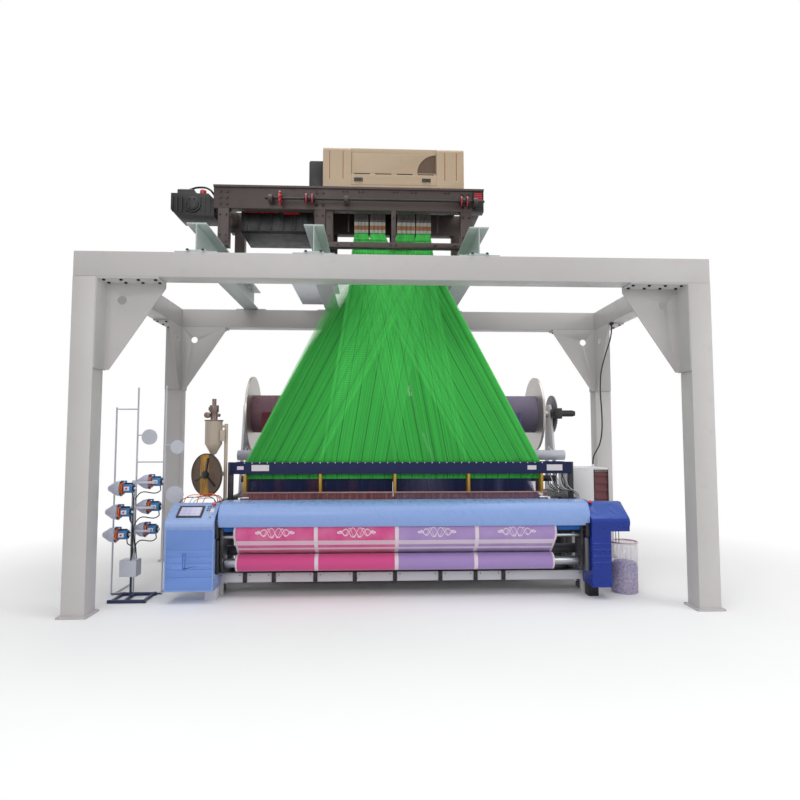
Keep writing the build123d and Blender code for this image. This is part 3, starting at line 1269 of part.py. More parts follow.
def key_button(along):
    """A small push button on the sloping panel."""
    return on_slope(KEY_X, along, KEY_TRAVEL + 1 - 12) * Cylinder(KEY_R, 26)


def right_cover():
    """The right cover: a ribbed column, and a wide head that reaches out over the waste bin."""
    x0, x1, x2 = RIGHT_COVER_LEFT, RIGHT_COLUMN_RIGHT, RIGHT_COVER_RIGHT
    column = console_shell(x0, x2, CABINET_BOTTOM)
    column -= block(x1, x2 + 1, CABINET_FRONT - 40, CABINET_BACK + 1, CABINET_BOTTOM - 1, RIGHT_OVERHANG_Z)
    column += block(x1 - CABINET_WALL, x1, CABINET_FRONT, CABINET_BACK, CABINET_BOTTOM, RIGHT_OVERHANG_Z)
    column += block(x1 - CABINET_WALL, x2, CABINET_FRONT, CABINET_BACK, RIGHT_OVERHANG_Z,
                    RIGHT_OVERHANG_Z + CABINET_WALL)
    for i in range(RIBS):
        z = 385 + RIB_STEP * i
        rib = [(CABINET_FRONT, z - 14), (CABINET_FRONT - 7, z - 6), (CABINET_FRONT - 7, z + 6), (CABINET_FRONT, z + 14)]
        column += side_profile(rib, x0 + 8, x1 - 8)
    for x in (2195, 2400):
        arc = Pos(x, 0) * Circle(105) - Pos(x + 26, 10) * Circle(112)
        arc &= Pos(x - 60, 0) * Rectangle(120, 170)
        column -= on_slope(0, 130, -3) * extrude(arc, 8)
    column += block(x0 + 12, x0 + 122, CABINET_BACK - 140, CABINET_BACK - 20, 0, CABINET_BOTTOM)
    column += on_slope(RIGHT_STOP_X, 232, 6) * Cylinder(STOP_R * 0.8, 14)
    return column - on_slope(RIGHT_STOP_X, 232, 0) * Cylinder(STOP_R * 0.5 + RUN_GAP, 60)


# Electrical cabinet
def electrical_cabinet():
    """A steel cabinet with a door bay, a mounting plate with devices, a ribbed filter bay and a gland."""
    x0, x1, y0, y1 = ELECTRIC_LEFT, ELECTRIC_RIGHT, ELECTRIC_FRONT, ELECTRIC_BACK
    wall, door_x = ELECTRIC_WALL, ELECTRIC_DOOR_RIGHT
    box = block(x0, x1, y0, y1, PLINTH, ELECTRIC_TOP)
    box -= block(x0 + wall, door_x - wall, y0 - 1, y1 - wall, PLINTH + wall, ELECTRIC_TOP - wall)
    box -= block(door_x + 12, x1 - 12, y0 - 1, y0 + 14, PLINTH + 40, ELECTRIC_TOP - 40)
    slats = 12
    for i in range(slats):
        z = PLINTH + 40 + (ELECTRIC_TOP - PLINTH - 80) * (i + 0.5) / slats
        box += block(door_x + 12, x1 - 12, y0 + 4, y0 + 14, z - 12, z + 12)
    plate = block(x0 + wall + 15, door_x - wall - 15, y1 - wall - 12, y1 - wall, PLINTH + 60, ELECTRIC_TOP - 60)
    for z, depth in ((PLINTH + 100, 150), (PLINTH + 430, 90), (PLINTH + 760, 120)):
        plate += block(x0 + wall + 30, door_x - wall - 30, y1 - wall - 12 - depth, y1 - wall, z, z + 260)
    box += plate
    box += block(x0 + 20, x1 - 20, y0 + 20, y1 - 20, 0, PLINTH)
    gland_x, gland_y, gland_z = CABLE_ROUTE[-1]
    return box + bar_z(gland_x, gland_y, ELECTRIC_TOP, gland_z, CABLE_R + 7)


def electrical_cabinet_door():
    """The cabinet door, with a folded edge and a turning latch."""
    left = ELECTRIC_LEFT + ELECTRIC_WALL + DOOR_GAP
    right = ELECTRIC_DOOR_RIGHT - ELECTRIC_WALL - DOOR_GAP
    low, high = PLINTH + ELECTRIC_WALL + DOOR_GAP, ELECTRIC_TOP - ELECTRIC_WALL - DOOR_GAP
    door = block(left, right, ELECTRIC_FRONT - 3, ELECTRIC_FRONT + 15, low, high)
    door -= block(left + 12, right - 12, ELECTRIC_FRONT + 1, ELECTRIC_FRONT + 16, low + 12, high - 12)
    return door + block(right - 44, right - 24, ELECTRIC_FRONT - 18, ELECTRIC_FRONT - 3, 660, 780)


# Air filter and selvedge reel
def filter_unit():
    """The air filter bowl and its valves on a pole that stands on the left side plate."""
    x, y = FILTER_X, FILTER_Y
    bowl = bar_z(x, y, FILTER_BOTTOM, FILTER_TOP, FILTER_R)
    bowl += Pos(x, y, (FILTER_BOTTOM + FILTER_CONE_Z) / 2) * Cone(32, FILTER_R, FILTER_BOTTOM - FILTER_CONE_Z)
    bowl += bar_z(x, y, FILTER_CONE_Z - 46, FILTER_CONE_Z, 16)
    bowl += bar_z(x, y, FILTER_TOP, FILTER_TOP + 14, FILTER_R + 8)
    top = FILTER_TOP + 14
    bowl += bar_z(x, y, top, top + 90, 40) + bar_z(x, y, top + 90, top + 170, 52)
    bowl += bar_z(x, y, top + 170, top + 246, 24)
    bowl += bar_x(x - 92, x + 70, y, top + 56, 18) + bar_y(x - 70, y - 44, y, top + 56, 34)
    bowl += bar_x(x - 60, x - 22, y, top + 130, 22)
    for z in (FILTER_BOTTOM + 60, FILTER_TOP - 60):
        bowl += block(x, FILTER_POLE_X, y - 12, y + 12, z - 15, z + 15)
    bowl += block(x + FILTER_R - 10, x + FILTER_R + 46, y - 70, y - 20, FILTER_BOTTOM + 30, FILTER_BOTTOM + 160)
    bowl += bar_z(FILTER_POLE_X, y, SIDE_TOP, FILTER_TOP - 30, FILTER_POLE_R)
    bowl += bar_z(FILTER_POLE_X, y, SIDE_TOP, SIDE_TOP + 12, FILTER_POLE_R + 8)
    lean = radians(REEL_TURN)
    back = REEL_THICK / 2 + 14
    reach = 246
    near = (REEL_X + back * sin(lean), REEL_Y + back * cos(lean))
    far = (REEL_X + reach * sin(lean), REEL_Y + reach * cos(lean))
    middle = ((near[0] + far[0]) / 2, (near[1] + far[1]) / 2)
    arm = Pos(middle[0], middle[1], REEL_Z) * Rot(0, 0, -REEL_TURN) * Rot(90, 0, 0) * Cylinder(24, reach - back)
    bowl += arm
    bowl += block(far[0] - 20, FILTER_POLE_X, y - 14, far[1] + 20, REEL_Z - 22, REEL_Z + 22)
    hole = Pos(REEL_X, REEL_Y, REEL_Z) * Rot(0, 0, -REEL_TURN) * Rot(90, 0, 0)
    return bowl - hole * Cylinder(REEL_SPINDLE_R + RUN_GAP, 2 * (REEL_SPINDLE_REACH + 2))


def selvedge_reel():
    """The selvedge reel: a thin disc, a three-armed spider on it, and a spindle behind."""
    place = Pos(REEL_X, REEL_Y, REEL_Z) * Rot(0, 0, -REEL_TURN) * Rot(90, 0, 0)
    reel_shape = Cylinder(REEL_R, REEL_THICK)
    reel_shape += Pos(0, 0, REEL_THICK / 2) * (Cylinder(REEL_R, 12) - Cylinder(REEL_R - 10, 14))
    for turn in (80, 200, 320):
        reel_shape += Rot(0, 0, turn) * Pos(95, 0, REEL_THICK / 2 + 8) * Box(190, 18, 16)
    reel_shape += Pos(0, 0, REEL_THICK / 2 + 12) * Cylinder(42, 40)
    reel_shape += Pos(0, 0, -REEL_SPINDLE_REACH / 2) * Cylinder(REEL_SPINDLE_R, REEL_SPINDLE_REACH)
    return place * reel_shape


# Weft feeders
def bell_outline(inset):
    """Half the guard bell's section: wide at its open end, drawn in to the tip on the left."""
    tip, wide, length = FEEDER_BELL_TIP_R - inset, FEEDER_BELL_R - inset, FEEDER_BELL_LENGTH - inset
    return [(0, 0), (0, wide), (-0.45 * length, wide * 0.86), (-length, tip), (-length, 0)]


def feeder_body(x, y, z):
    """One weft feeder: housing, shaft, drum, and a guard bell held by an arm over the disc."""
    half, wall = FEEDER_HOUSING / 2, FEEDER_BELL_WALL
    left, end = x + FEEDER_HOUSING_GAP, x + FEEDER_BELL_END
    housing = block(left, left + FEEDER_HOUSING, y - half, y + half, z - half, z + half)
    housing = chamfer(housing.edges().filter_by(Axis.X), 14)
    housing += bar_x(end, left, y, z, FEEDER_SHAFT_R)
    housing += bar_x(end - FEEDER_DRUM_LENGTH, end, y, z, FEEDER_DRUM_R)
    bell = revolve(Plane.XY * Polygon(*bell_outline(0), align=None), Axis.X, 360)
    bell -= revolve(Plane.XY * Polygon(*bell_outline(wall), align=None), Axis.X, 360)
    top = FEEDER_BELL_R - wall / 2
    arm = block(end - 10, left + 20, y - 10, y + 10, z + top - 12, z + top)
    arm += block(left + 6, left + 20, y - 10, y + 10, z + half - 4, z + top)
    return group(housing + arm + Pos(end, y, z) * bell)


def feeder_bodies():
    """The six feeders."""
    return group(*[feeder_body(*spot) for spot in FEEDER_SPOTS])


def feeder_arm(x, y, z):
    """A feeder's winding disc, which turns on the shaft between drum and housing."""
    left = x + FEEDER_DISC_FROM
    right = left + FEEDER_DISC_THICK
    disc = bar_x(left, right, y, z, FEEDER_DISC_R)
    disc = chamfer(disc.edges().group_by(Axis.X)[0], 8)
    disc -= bar_x(left - 1, right + 1, y, z, FEEDER_SHAFT_R + RUN_GAP)
    return disc - bar_x(left - 1, right + 1, y, z + FEEDER_DISC_R - 20, 6)


def feeder_stand():
    """The feeders' floor ring, box, mast and arms, and the creel posts with their yarn discs, all on one foot."""
    ring_z, ring_r = 18, 18
    x0, x1, y0, y1 = -2990, -2600, MAST_Y - 180, MAST_Y + 120
    ring = bar_x(x0, x1, y0, ring_z, ring_r) + bar_x(x0, x1, y1, ring_z, ring_r)
    for x in (x0 + 30, x1 - 30, MAST_X):
        ring += bar_y(x, y0, y1, ring_z, ring_r - 4)
    ring += bar_z(MAST_X, MAST_Y, ring_z, 250, MAST_R - 4)
    ring += block(MAST_X - 97, MAST_X + 77, MAST_Y - 70, MAST_Y + 70, 241, 413)
    ring += bar_z(MAST_X, MAST_Y, 413, 1250, MAST_R)
    for x, y, z in FEEDER_SPOTS:
        s = FEEDER_HOUSING / 2
        edge = y + s if y < MAST_Y else y - s
        middle = x + FEEDER_HOUSING_GAP + s
        ring += block(*sorted((middle, MAST_X)), MAST_Y - 10, MAST_Y + 10, z - 12, z + 12)
        ring += block(middle - 12, middle + 12, *sorted((edge, MAST_Y)), z - 12, z + 12)
    for x in (x0 + 30, x1 - 30):
        ring += block(x - 16, x + 16, y1, CREEL_Y, 4, 30)
    creel = bar_x(CREEL_POSTS[0][0], CREEL_POSTS[-1][0], CREEL_Y, 12, 12)
    for x in (CREEL_POSTS[0][0] + 30, CREEL_POSTS[-1][0] - 30):
        creel += bar_y(x, CREEL_Y + 20, CREEL_Y + 400, 12, 10)
        creel += block(x - 10, x + 10, CREEL_Y, CREEL_Y + 22, 4, 20)
    for x, top in CREEL_POSTS:
        creel += bar_z(x, CREEL_Y, 12, top, CREEL_POST_R)
    low_top = CREEL_POSTS[0][1] - 20
    creel += bar_x(CREEL_POSTS[0][0], CREEL_POSTS[1][0], CREEL_Y, low_top, 7)
    creel += bar_x(CREEL_POSTS[1][0], CREEL_POSTS[2][0], CREEL_Y, 1440, 7)
    for x, z, r in CREEL_DISCS:
        post = min(CREEL_POSTS, key=lambda p: abs(p[0] - x))[0]
        creel += bar_x(*sorted((x, post)), CREEL_Y, z + 20, 6)
        creel += bar_y(x, CREEL_Y - 40, CREEL_Y, z + 20, 6)
        creel += bar_y(x, CREEL_Y - 46, CREEL_Y - 40, z, r)
    return ring + creel


# Waste bin
def waste_bin():
    """The clear waste bin with its rim ring, and the wires that hang from the right cover."""
    wall = bar_z(BIN_X, BIN_Y, 0, BIN_HEIGHT, BIN_R) - bar_z(BIN_X, BIN_Y, BIN_WALL, BIN_HEIGHT + 1, BIN_R - BIN_WALL)
    rim = bar_z(BIN_X, BIN_Y, BIN_HEIGHT, BIN_HEIGHT + 16, BIN_R + 5)
    rim -= bar_z(BIN_X, BIN_Y, BIN_HEIGHT - 1, BIN_HEIGHT + 17, BIN_R - 9)
    parts = [wall, rim]
    for x, y in ((BIN_X - 118, BIN_Y - 72), (BIN_X - 96, BIN_Y - 100)):
        parts.append(bar_z(x, y, BIN_HEIGHT + 16, RIGHT_OVERHANG_Z, 4))
    return group(*parts)


def bin_waste():
    """The yarn waste in the bin."""
    r = BIN_R - BIN_WALL - 2
    waste = bar_z(BIN_X, BIN_Y, BIN_WALL, WASTE_TOP, r)
    return fillet(waste.edges().group_by(Axis.Z)[-1], 60)


# Supply cable
def supply_cable():
    """The cable from a clip under the right beam to the electrical cabinet's gland."""
    points = CABLE_ROUTE
    turns, lengths = [], []
    for a, b in zip(points, points[1:]):
        lengths.append((Vector(*b) - Vector(*a)).length)
    for a, b, c in zip(points, points[1:], points[2:]):
        turns.append((Vector(*b) - Vector(*a)).get_angle(Vector(*c) - Vector(*b)))
    radii = [0.45 * min(lengths[i], lengths[i + 1]) / tan_half(turn) for i, turn in enumerate(turns)]
    print("cable radii", [round(r) for r in radii], "length", round(sum(lengths)))
    path = FilletPolyline(*points, radius=radii)
    start = Plane(origin=points[0], z_dir=path % 0)
    cable = sweep(start * Circle(CABLE_R), path=path)
    x, y, z = points[0]
    clip = block(x - 26, x + 26, y - 20, y + 20, z, z + CABLE_CLIP)
    return group(cable, clip)


def tan_half(turn):
    """The tangent of half a turn in degrees."""
    return sin(radians(turn) / 2) / cos(radians(turn) / 2)


NODES = {
    "gantry_columns": gantry_columns,
    "gantry_beams": gantry_beams,
    "corner_brackets": corner_brackets,
    "gantry_bolts": gantry_bolts,
    "platform_beams": platform_beams,
    "service_walkway": service_walkway,
    "jacquard_frame": jacquard_frame,
    "jacquard_drive_shaft": jacquard_drive_shaft,
    "drive_gearbox": drive_gearbox,
    "drive_housing": drive_housing,
    "jacquard_hood": jacquard_hood,
    "hood_door": hood_door,
    "jacquard_side_box": jacquard_side_box,
    "hook_modules": hook_modules,
    "harness_cords": harness_cords,
    "comber_frame": comber_frame,
    "heddle_bank": heddle_bank,
    "heddle_dividers": heddle_dividers,
    "return_springs": return_springs,
    "side_frame_left": lambda: side_frame(SIDE_LEFT_X),
    "side_frame_right": lambda: side_frame(SIDE_RIGHT_X),
    "cross_members": cross_members,
    "front_base_beam": front_base_beam,
    "sley": sley,
    "reed": reed,
    "temples": temples,
    "breast_cover": breast_cover,
    "left_cabinet": left_cabinet,
    "left_cabinet_door": left_cabinet_door,
    "control_panel": control_panel,
    "stop_button_left": lambda: stop_button(KEY_X),
    "stop_button_right": lambda: stop_button(RIGHT_STOP_X),
    "start_button": lambda: key_button(40),
    "jog_button": lambda: key_button(95),
    "right_cover": right_cover,
    "cloth": cloth,
    "cloth_roll": cloth_roll,
    "take_up_roller": take_up_roller,
    "pile_beam": pile_beam,
    "pile_warp": pile_warp,
    "ground_beam": ground_beam,
    "tension_roll": tension_roll,
    "warp_sheet": warp_sheet,
    "beam_stands": beam_stands,
    "let_off_motors": let_off_motors,
    "electrical_cabinet": electrical_cabinet,
    "electrical_cabinet_door": electrical_cabinet_door,
    "filter_unit": filter_unit,
    "selvedge_reel": selvedge_reel,
    "feeder_stand": feeder_stand,
    "feeder_bodies": feeder_bodies,
    "waste_bin": waste_bin,
    "bin_waste": bin_waste,
    "supply_cable": supply_cable,
}
for number, spot in enumerate(FEEDER_SPOTS, start=1):
    NODES[f"feeder_disc_{number}"] = lambda spot=spot: feeder_arm(*spot)

os.makedirs("parts", exist_ok=True)
for node, make in NODES.items():
    export_step(make(), f"parts/{node}.step")
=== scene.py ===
"""Dresses the power loom: its finishes, harness, yarns, cloth and small fittings.

Metres. +X runs along the loom to the weaver's right, +Y to the back, +Z up.
"""
import json
import random
from math import atan2, cos, hypot, pi, radians, sin

import bmesh
import bpy
from mathutils import Matrix, Vector, noise

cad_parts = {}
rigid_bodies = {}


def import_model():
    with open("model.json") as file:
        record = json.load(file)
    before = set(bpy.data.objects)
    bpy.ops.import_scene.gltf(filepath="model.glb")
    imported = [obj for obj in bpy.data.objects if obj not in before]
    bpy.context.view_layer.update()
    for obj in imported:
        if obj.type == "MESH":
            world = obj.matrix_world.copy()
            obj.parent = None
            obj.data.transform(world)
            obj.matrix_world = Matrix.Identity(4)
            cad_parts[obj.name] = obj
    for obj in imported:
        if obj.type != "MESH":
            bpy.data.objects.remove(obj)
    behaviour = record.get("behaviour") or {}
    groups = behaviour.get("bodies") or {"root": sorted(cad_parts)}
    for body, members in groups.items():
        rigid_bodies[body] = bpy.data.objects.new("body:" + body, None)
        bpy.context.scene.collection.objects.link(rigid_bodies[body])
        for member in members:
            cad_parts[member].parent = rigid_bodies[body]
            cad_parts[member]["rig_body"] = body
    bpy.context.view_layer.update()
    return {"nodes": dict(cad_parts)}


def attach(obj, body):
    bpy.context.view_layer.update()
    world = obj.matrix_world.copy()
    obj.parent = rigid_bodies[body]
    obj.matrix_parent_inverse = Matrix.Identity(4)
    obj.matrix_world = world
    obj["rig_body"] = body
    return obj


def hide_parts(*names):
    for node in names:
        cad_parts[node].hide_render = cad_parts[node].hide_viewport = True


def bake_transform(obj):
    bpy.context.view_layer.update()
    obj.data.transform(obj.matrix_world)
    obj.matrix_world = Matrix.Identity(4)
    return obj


for start_object in list(bpy.data.objects):
    bpy.data.objects.remove(start_object)
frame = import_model()
scene = bpy.context.scene

# Camera of the photograph
CAMERA_PLACE = (-0.2365, -7.2156, 1.6977)
CAMERA_YAW = 2.456
CAMERA_PITCH = 3.766
CAMERA_LENS = 26.447

# Sizes shared with the frame
MODULE_SPANS = ((-0.486, -0.321), (-0.300, -0.118), (0.024, 0.238), (0.252, 0.428))
MODULE_BOTTOM = 4.138
HARNESS_Y = -0.215
HARNESS_TOP_DEPTH = 0.290
HARNESS_FOOT_DEPTH = 0.160
HARNESS_KNEE_Z = 3.800
HARNESS_FOOT_Z = 1.230
BOARD_Z = 1.380
BAY_PITCH = 0.866
BAY_EDGE = 0.023
HEDDLE_BOTTOM = 1.066
SPRING_TOP = 1.030
SPRING_BOTTOM = 0.642
WEAVING_WIDTH = 3.400
CLOTH_THICK = 0.003
TAKE_UP = (-0.850, 0.760)
ROLL = (-0.800, 0.380)
ROLL_R = 0.088
SHOULDER = (-0.994, 0.858)
CREST = (-0.770, 1.005)
SLOPE_ANGLE = atan2(CREST[1] - SHOULDER[1], CREST[0] - SHOULDER[0])
FEEDER_SPOTS = (
    (-2.918, -0.830, 1.173), (-2.706, -0.610, 1.227), (-2.940, -0.830, 0.926),
    (-2.715, -0.610, 0.957), (-2.960, -0.830, 0.690), (-2.740, -0.610, 0.710),
)
REEL = (-2.130, -0.450, 1.292)
REEL_TURN = radians(32)
FRAME_FRONT = -0.705
SHAFT = (-0.800, 4.362)

# Directions, and limits for making pieces
ALONG = (1, 0, 0)
FRONT = (0, -1, 0)
UP = (0, 0, 1)
FAR = 9.0
ALL = (-FAR, FAR)
SAME_PLACE = 0.00001
FLAT_WITHIN = radians(0.5)
ROUND_ABOVE = radians(35)
SMOOTH_BELOW = radians(38)
LATHE_STEPS = 40


# Colours
def srgb(r, g, b):
    """A linear colour from 8-bit screen values."""
    return tuple(((v / 255 + 0.055) / 1.055) ** 2.4 if v > 10 else v / 3294 for v in (r, g, b)) + (1.0,)


def shade(colour, amount):
    """A colour made lighter or darker."""
    return tuple(min(c * amount, 1.0) for c in colour[:3]) + (1.0,)


BLACK = srgb(22, 22, 24)
GANTRY_GREY = srgb(190, 186, 186)
PLATFORM_GREY = srgb(178, 188, 186)
JACQUARD_GREY = srgb(76, 65, 63)
HOOD_BEIGE = srgb(180, 159, 134)
COVER_BLUE = srgb(140, 168, 222)
PALE_BLUE = srgb(152, 176, 226)
DEEP_BLUE = srgb(22, 50, 144)
RAIL_NAVY = srgb(4, 22, 70)
CORD_GREEN = srgb(92, 242, 110)
OLIVE = srgb(150, 142, 62)
HEDDLE_BLUE = srgb(38, 52, 104)
SPRING_GREY = srgb(150, 152, 158)
DENT_BROWN = srgb(152, 112, 112)
PINK = srgb(222, 80, 146)
LAVENDER = srgb(168, 146, 206)
MAROON = srgb(128, 44, 72)
VIOLET = srgb(116, 110, 158)
BRASS = srgb(200, 156, 60)
SIGNAL_RED = srgb(196, 32, 44)


# Finishes
class Finish:
    """A material in the making: its shader, and short calls that add nodes to it."""

    def __init__(self, roughness, metallic=0.0):
        self.material = bpy.data.materials.new("finish")
        self.material.use_nodes = True
        self.nodes = self.material.node_tree.nodes
        self.shader = self.nodes["Principled BSDF"]
        self.shader.inputs["Roughness"].default_value = roughness
        self.shader.inputs["Metallic"].default_value = metallic
        self.place = self.nodes.new("ShaderNodeTexCoord").outputs["Object"]

    def node(self, kind, inputs, output=0, **settings):
        """Adds a node, fills or links its inputs, and returns one of its outputs."""
        made = self.nodes.new(kind)
        for key, value in settings.items():
            setattr(made, key, value)
        for key, value in inputs.items():
            self.put(value, made.inputs[key])
        return made.outputs[output]

    def put(self, value, socket):
        """Sets a socket to a value, or links it to an output."""
        if isinstance(value, bpy.types.NodeSocket):
            self.material.node_tree.links.new(value, socket)
        else:
            socket.default_value = value

    def set(self, name, value):
        """Sets or links one of the shader's own sockets."""
        self.put(value, self.shader.inputs[name])

    def noise(self, scale, detail=3.0, rough=0.55, stretch=None, where=None):
        """Noise over the object's coordinates, stretched if asked."""
        where = where or self.place
        if stretch:
            where = self.node("ShaderNodeMapping", {"Vector": where, "Scale": stretch})
        inputs = {"Vector": where, "Scale": scale, "Detail": detail, "Roughness": rough}
        return self.node("ShaderNodeTexNoise", inputs)

    def math(self, kind, a, b=0.0):
        """One sum."""
        return self.node("ShaderNodeMath", {0: a, 1: b}, operation=kind)

    def distance(self, a, b):
        """How far out a place is, from its two coordinates."""
        return self.math("SQRT", self.math("ADD", self.math("MULTIPLY", a, a), self.math("MULTIPLY", b, b)))

    def span(self, value, low, high, to_low=0.0, to_high=1.0):
        """Moves a value from one range to another, and stops at its ends."""
        inputs = {"Value": value, "From Min": low, "From Max": high, "To Min": to_low, "To Max": to_high}
        return self.node("ShaderNodeMapRange", inputs)

    def mix(self, factor, a, b):
        """A colour between two others."""
        return self.node("ShaderNodeMix", {0: factor, 6: a, 7: b}, output=2, data_type="RGBA")

    def axis(self, letter, where=None):
        """One coordinate of a place."""
        return self.node("ShaderNodeSeparateXYZ", {0: where or self.place}, output="XYZ".index(letter))

    def stripes(self, value, pitch):
        """A wave from 0 to 1 along a value, one for each pitch."""
        return self.span(self.math("SINE", self.math("MULTIPLY", value, 2 * pi / pitch)), -1, 1)

    def bands(self, value, stops):
        """Colours along a value, each from its own start."""
        low, high = stops[0][0], stops[-1][0] + 0.01
        ramp = self.nodes.new("ShaderNodeValToRGB")
        self.put(self.span(value, low, high), ramp.inputs[0])
        ramp.color_ramp.interpolation = "CONSTANT"
        for i, (start, colour) in enumerate(stops):
            place = (start - low) / (high - low)
            elements = ramp.color_ramp.elements
            element = elements[i] if i < 2 else elements.new(place)
            element.position, element.color = place, colour
        return ramp.outputs[0]

    def bump(self, height, strength=0.3, distance=0.001):
        """Raises the surface where height is high."""
        inputs = {"Strength": strength, "Distance": distance, "Height": height}
        self.set("Normal", self.node("ShaderNodeBump", inputs))
        return self.material


def paint(colour, roughness=0.40, tone=0.07, wear=0.25, dust=0.0):
    """Sprayed paint on steel: orange peel, a cloudy tone, handled patches, and dust where asked."""
    f = Finish(roughness)
    f.shader.inputs["Specular IOR Level"].default_value = 0.35
    patch = f.noise(9, 6, 0.7)
    base = f.mix(f.noise(1.6, 4), shade(colour, 1 - tone), shade(colour, 1 + tone))
    base = f.mix(f.span(patch, 0.58, 0.74, 0, wear), base, shade(colour, 0.72))
    if dust:
        base = f.mix(f.span(f.noise(3, 7, 0.65), 0.42, 0.68, 0, dust), base, srgb(196, 194, 196))
    f.set("Base Color", base)
    f.set("Roughness", f.span(patch, 0.3, 0.7, roughness - 0.07, roughness + 0.12))
    return f.bump(f.noise(520, 2), 0.10, 0.0005)


def steel(colour, roughness=0.32, stretch=(1, 40, 40), metallic=0.9):
    """Turned or drawn steel: fine streaks along one way."""
    f = Finish(roughness, metallic)
    streak = f.noise(14, 5, 0.6, stretch)
    f.set("Base Color", f.mix(streak, shade(colour, 0.78), shade(colour, 1.15)))
    f.set("Roughness", f.span(streak, 0.3, 0.7, roughness - 0.08, roughness + 0.14))
    return f.bump(streak, 0.12, 0.0004)


def plastic(colour, roughness=0.35, grain=900):
    """Moulded plastic with a fine grain."""
    f = Finish(roughness)
    f.set("Base Color", f.mix(f.noise(6, 4), shade(colour, 0.9), shade(colour, 1.06)))
    f.set("Roughness", f.span(f.noise(30, 4), 0.3, 0.7, roughness - 0.06, roughness + 0.08))
    return f.bump(f.noise(grain, 2), 0.12, 0.0003)


def rubber(colour):
    """Matt rubber with a cloudy bloom."""
    f = Finish(0.7)
    f.set("Base Color", f.mix(f.noise(22, 5), shade(colour, 0.8), shade(colour, 1.3)))
    return f.bump(f.noise(700, 3), 0.25, 0.0004)


def hook_bank(stops, pitch):
    """The hook modules: level bands of colour, each from its own height, and an upright line per hook."""
    f = Finish(0.4)
    base = f.bands(f.axis("Z"), stops)
    line = f.stripes(f.axis("X"), pitch)
    f.set("Base Color", f.mix(f.span(line, 0.0, 0.5, 0.55, 0.0), base, srgb(90, 70, 60)))
    return f.bump(line, 0.5, 0.002)


def yarn_sheet():
    """Warp yarns side by side: dyed maroon on the left half, violet on the right."""
    f = Finish(0.75)
    x = f.axis("X")
    line = f.stripes(x, 0.0036)
    dyed = f.mix(f.span(x, -0.002, 0.002), MAROON, VIOLET)
    dyed = f.mix(f.noise(1.0, 4, 0.6, (900, 2, 2)), srgb(70, 30, 60), dyed)
    f.set("Base Color", f.mix(f.span(line, 0.0, 0.45, 0.5, 0.0), dyed, srgb(232, 222, 226)))
    return f.bump(line, 0.6, 0.001)


TOWELS = 4
STRIP_HALF = 0.020


def cloth_pattern(f, u, v, bands):
    """Towels side by side: dyed panels with white selvedge strips, and white bands across."""
    panel = WEAVING_WIDTH / TOWELS
    shifted = f.math("MODULO", f.math("ADD", u, panel / 2), panel)
    from_edge = f.math("ABSOLUTE", f.math("SUBTRACT", shifted, panel / 2))
    dyed = f.mix(f.span(u, WEAVING_WIDTH / 2 - 0.001, WEAVING_WIDTH / 2 + 0.001), PINK, LAVENDER)
    white = srgb(238, 226, 236)
    strip = f.span(from_edge, STRIP_HALF - 0.002, STRIP_HALF + 0.002, 1.0, 0.0)
    middle = f.math("ABSOLUTE", f.math("SUBTRACT", from_edge, panel / 2))
    for start, end, strength in bands:
        inside = f.math("MULTIPLY", f.span(v, start - 0.003, start), f.span(v, end, end + 0.003, 1.0, 0.0))
        strip = f.math("MAXIMUM", strip, f.math("MULTIPLY", inside, strength))
    return dyed, white, strip, middle


def terry(bands, motif):
    """Terry cloth: looped pile in rows, darkened between the loops as painted shade, towels side by side,
    and a plain braided ornament on each.
    """
    f = Finish(0.9)
    uv = f.node("ShaderNodeUVMap", {}, uv_map="UVMap")
    u, v = f.axis("X", uv), f.axis("Y", uv)
    dyed, white, strip, middle = cloth_pattern(f, u, v, bands)
    start, end, reach = motif
    across = f.math("SUBTRACT", v, (start + end) / 2)
    swell = f.span(f.math("MULTIPLY", middle, middle), 0.0, reach * reach, (end - start) / 2, 0.0)
    inside = f.span(middle, reach - 0.004, reach, 1.0, 0.0)
    for count, sign in ((2.6, 1), (2.6, -1), (4.2, 1)):
        wave = f.math("SINE", f.math("MULTIPLY", middle, 2 * pi * count / reach / 2))
        curve = f.math("MULTIPLY", f.math("MULTIPLY", wave, swell), sign)
        line = f.span(f.math("ABSOLUTE", f.math("SUBTRACT", across, curve)), 0.004, 0.006, 1.0, 0.0)
        strip = f.math("MAXIMUM", strip, f.math("MULTIPLY", line, inside))
    loops = f.node("ShaderNodeTexVoronoi", {"Vector": uv, "Scale": 340.0})
    rows = f.stripes(v, 0.006)
    base = f.mix(strip, dyed, white)
    # Dark pink at the edges of each loop: painted shade in the hollows between the pile loops.
    base = f.mix(f.span(loops, 0.0, 0.9, 0.0, 0.28), base, shade(PINK, 0.35))
    base = f.mix(f.span(f.noise(5, 4, where=uv), 0.35, 0.7, 0.0, 0.12), base, white)
    f.set("Base Color", base)
    f.shader.inputs["Sheen Weight"].default_value = 0.35
    return f.bump(f.math("ADD", f.math("MULTIPLY", rows, 0.4), loops), 0.5, 0.003)


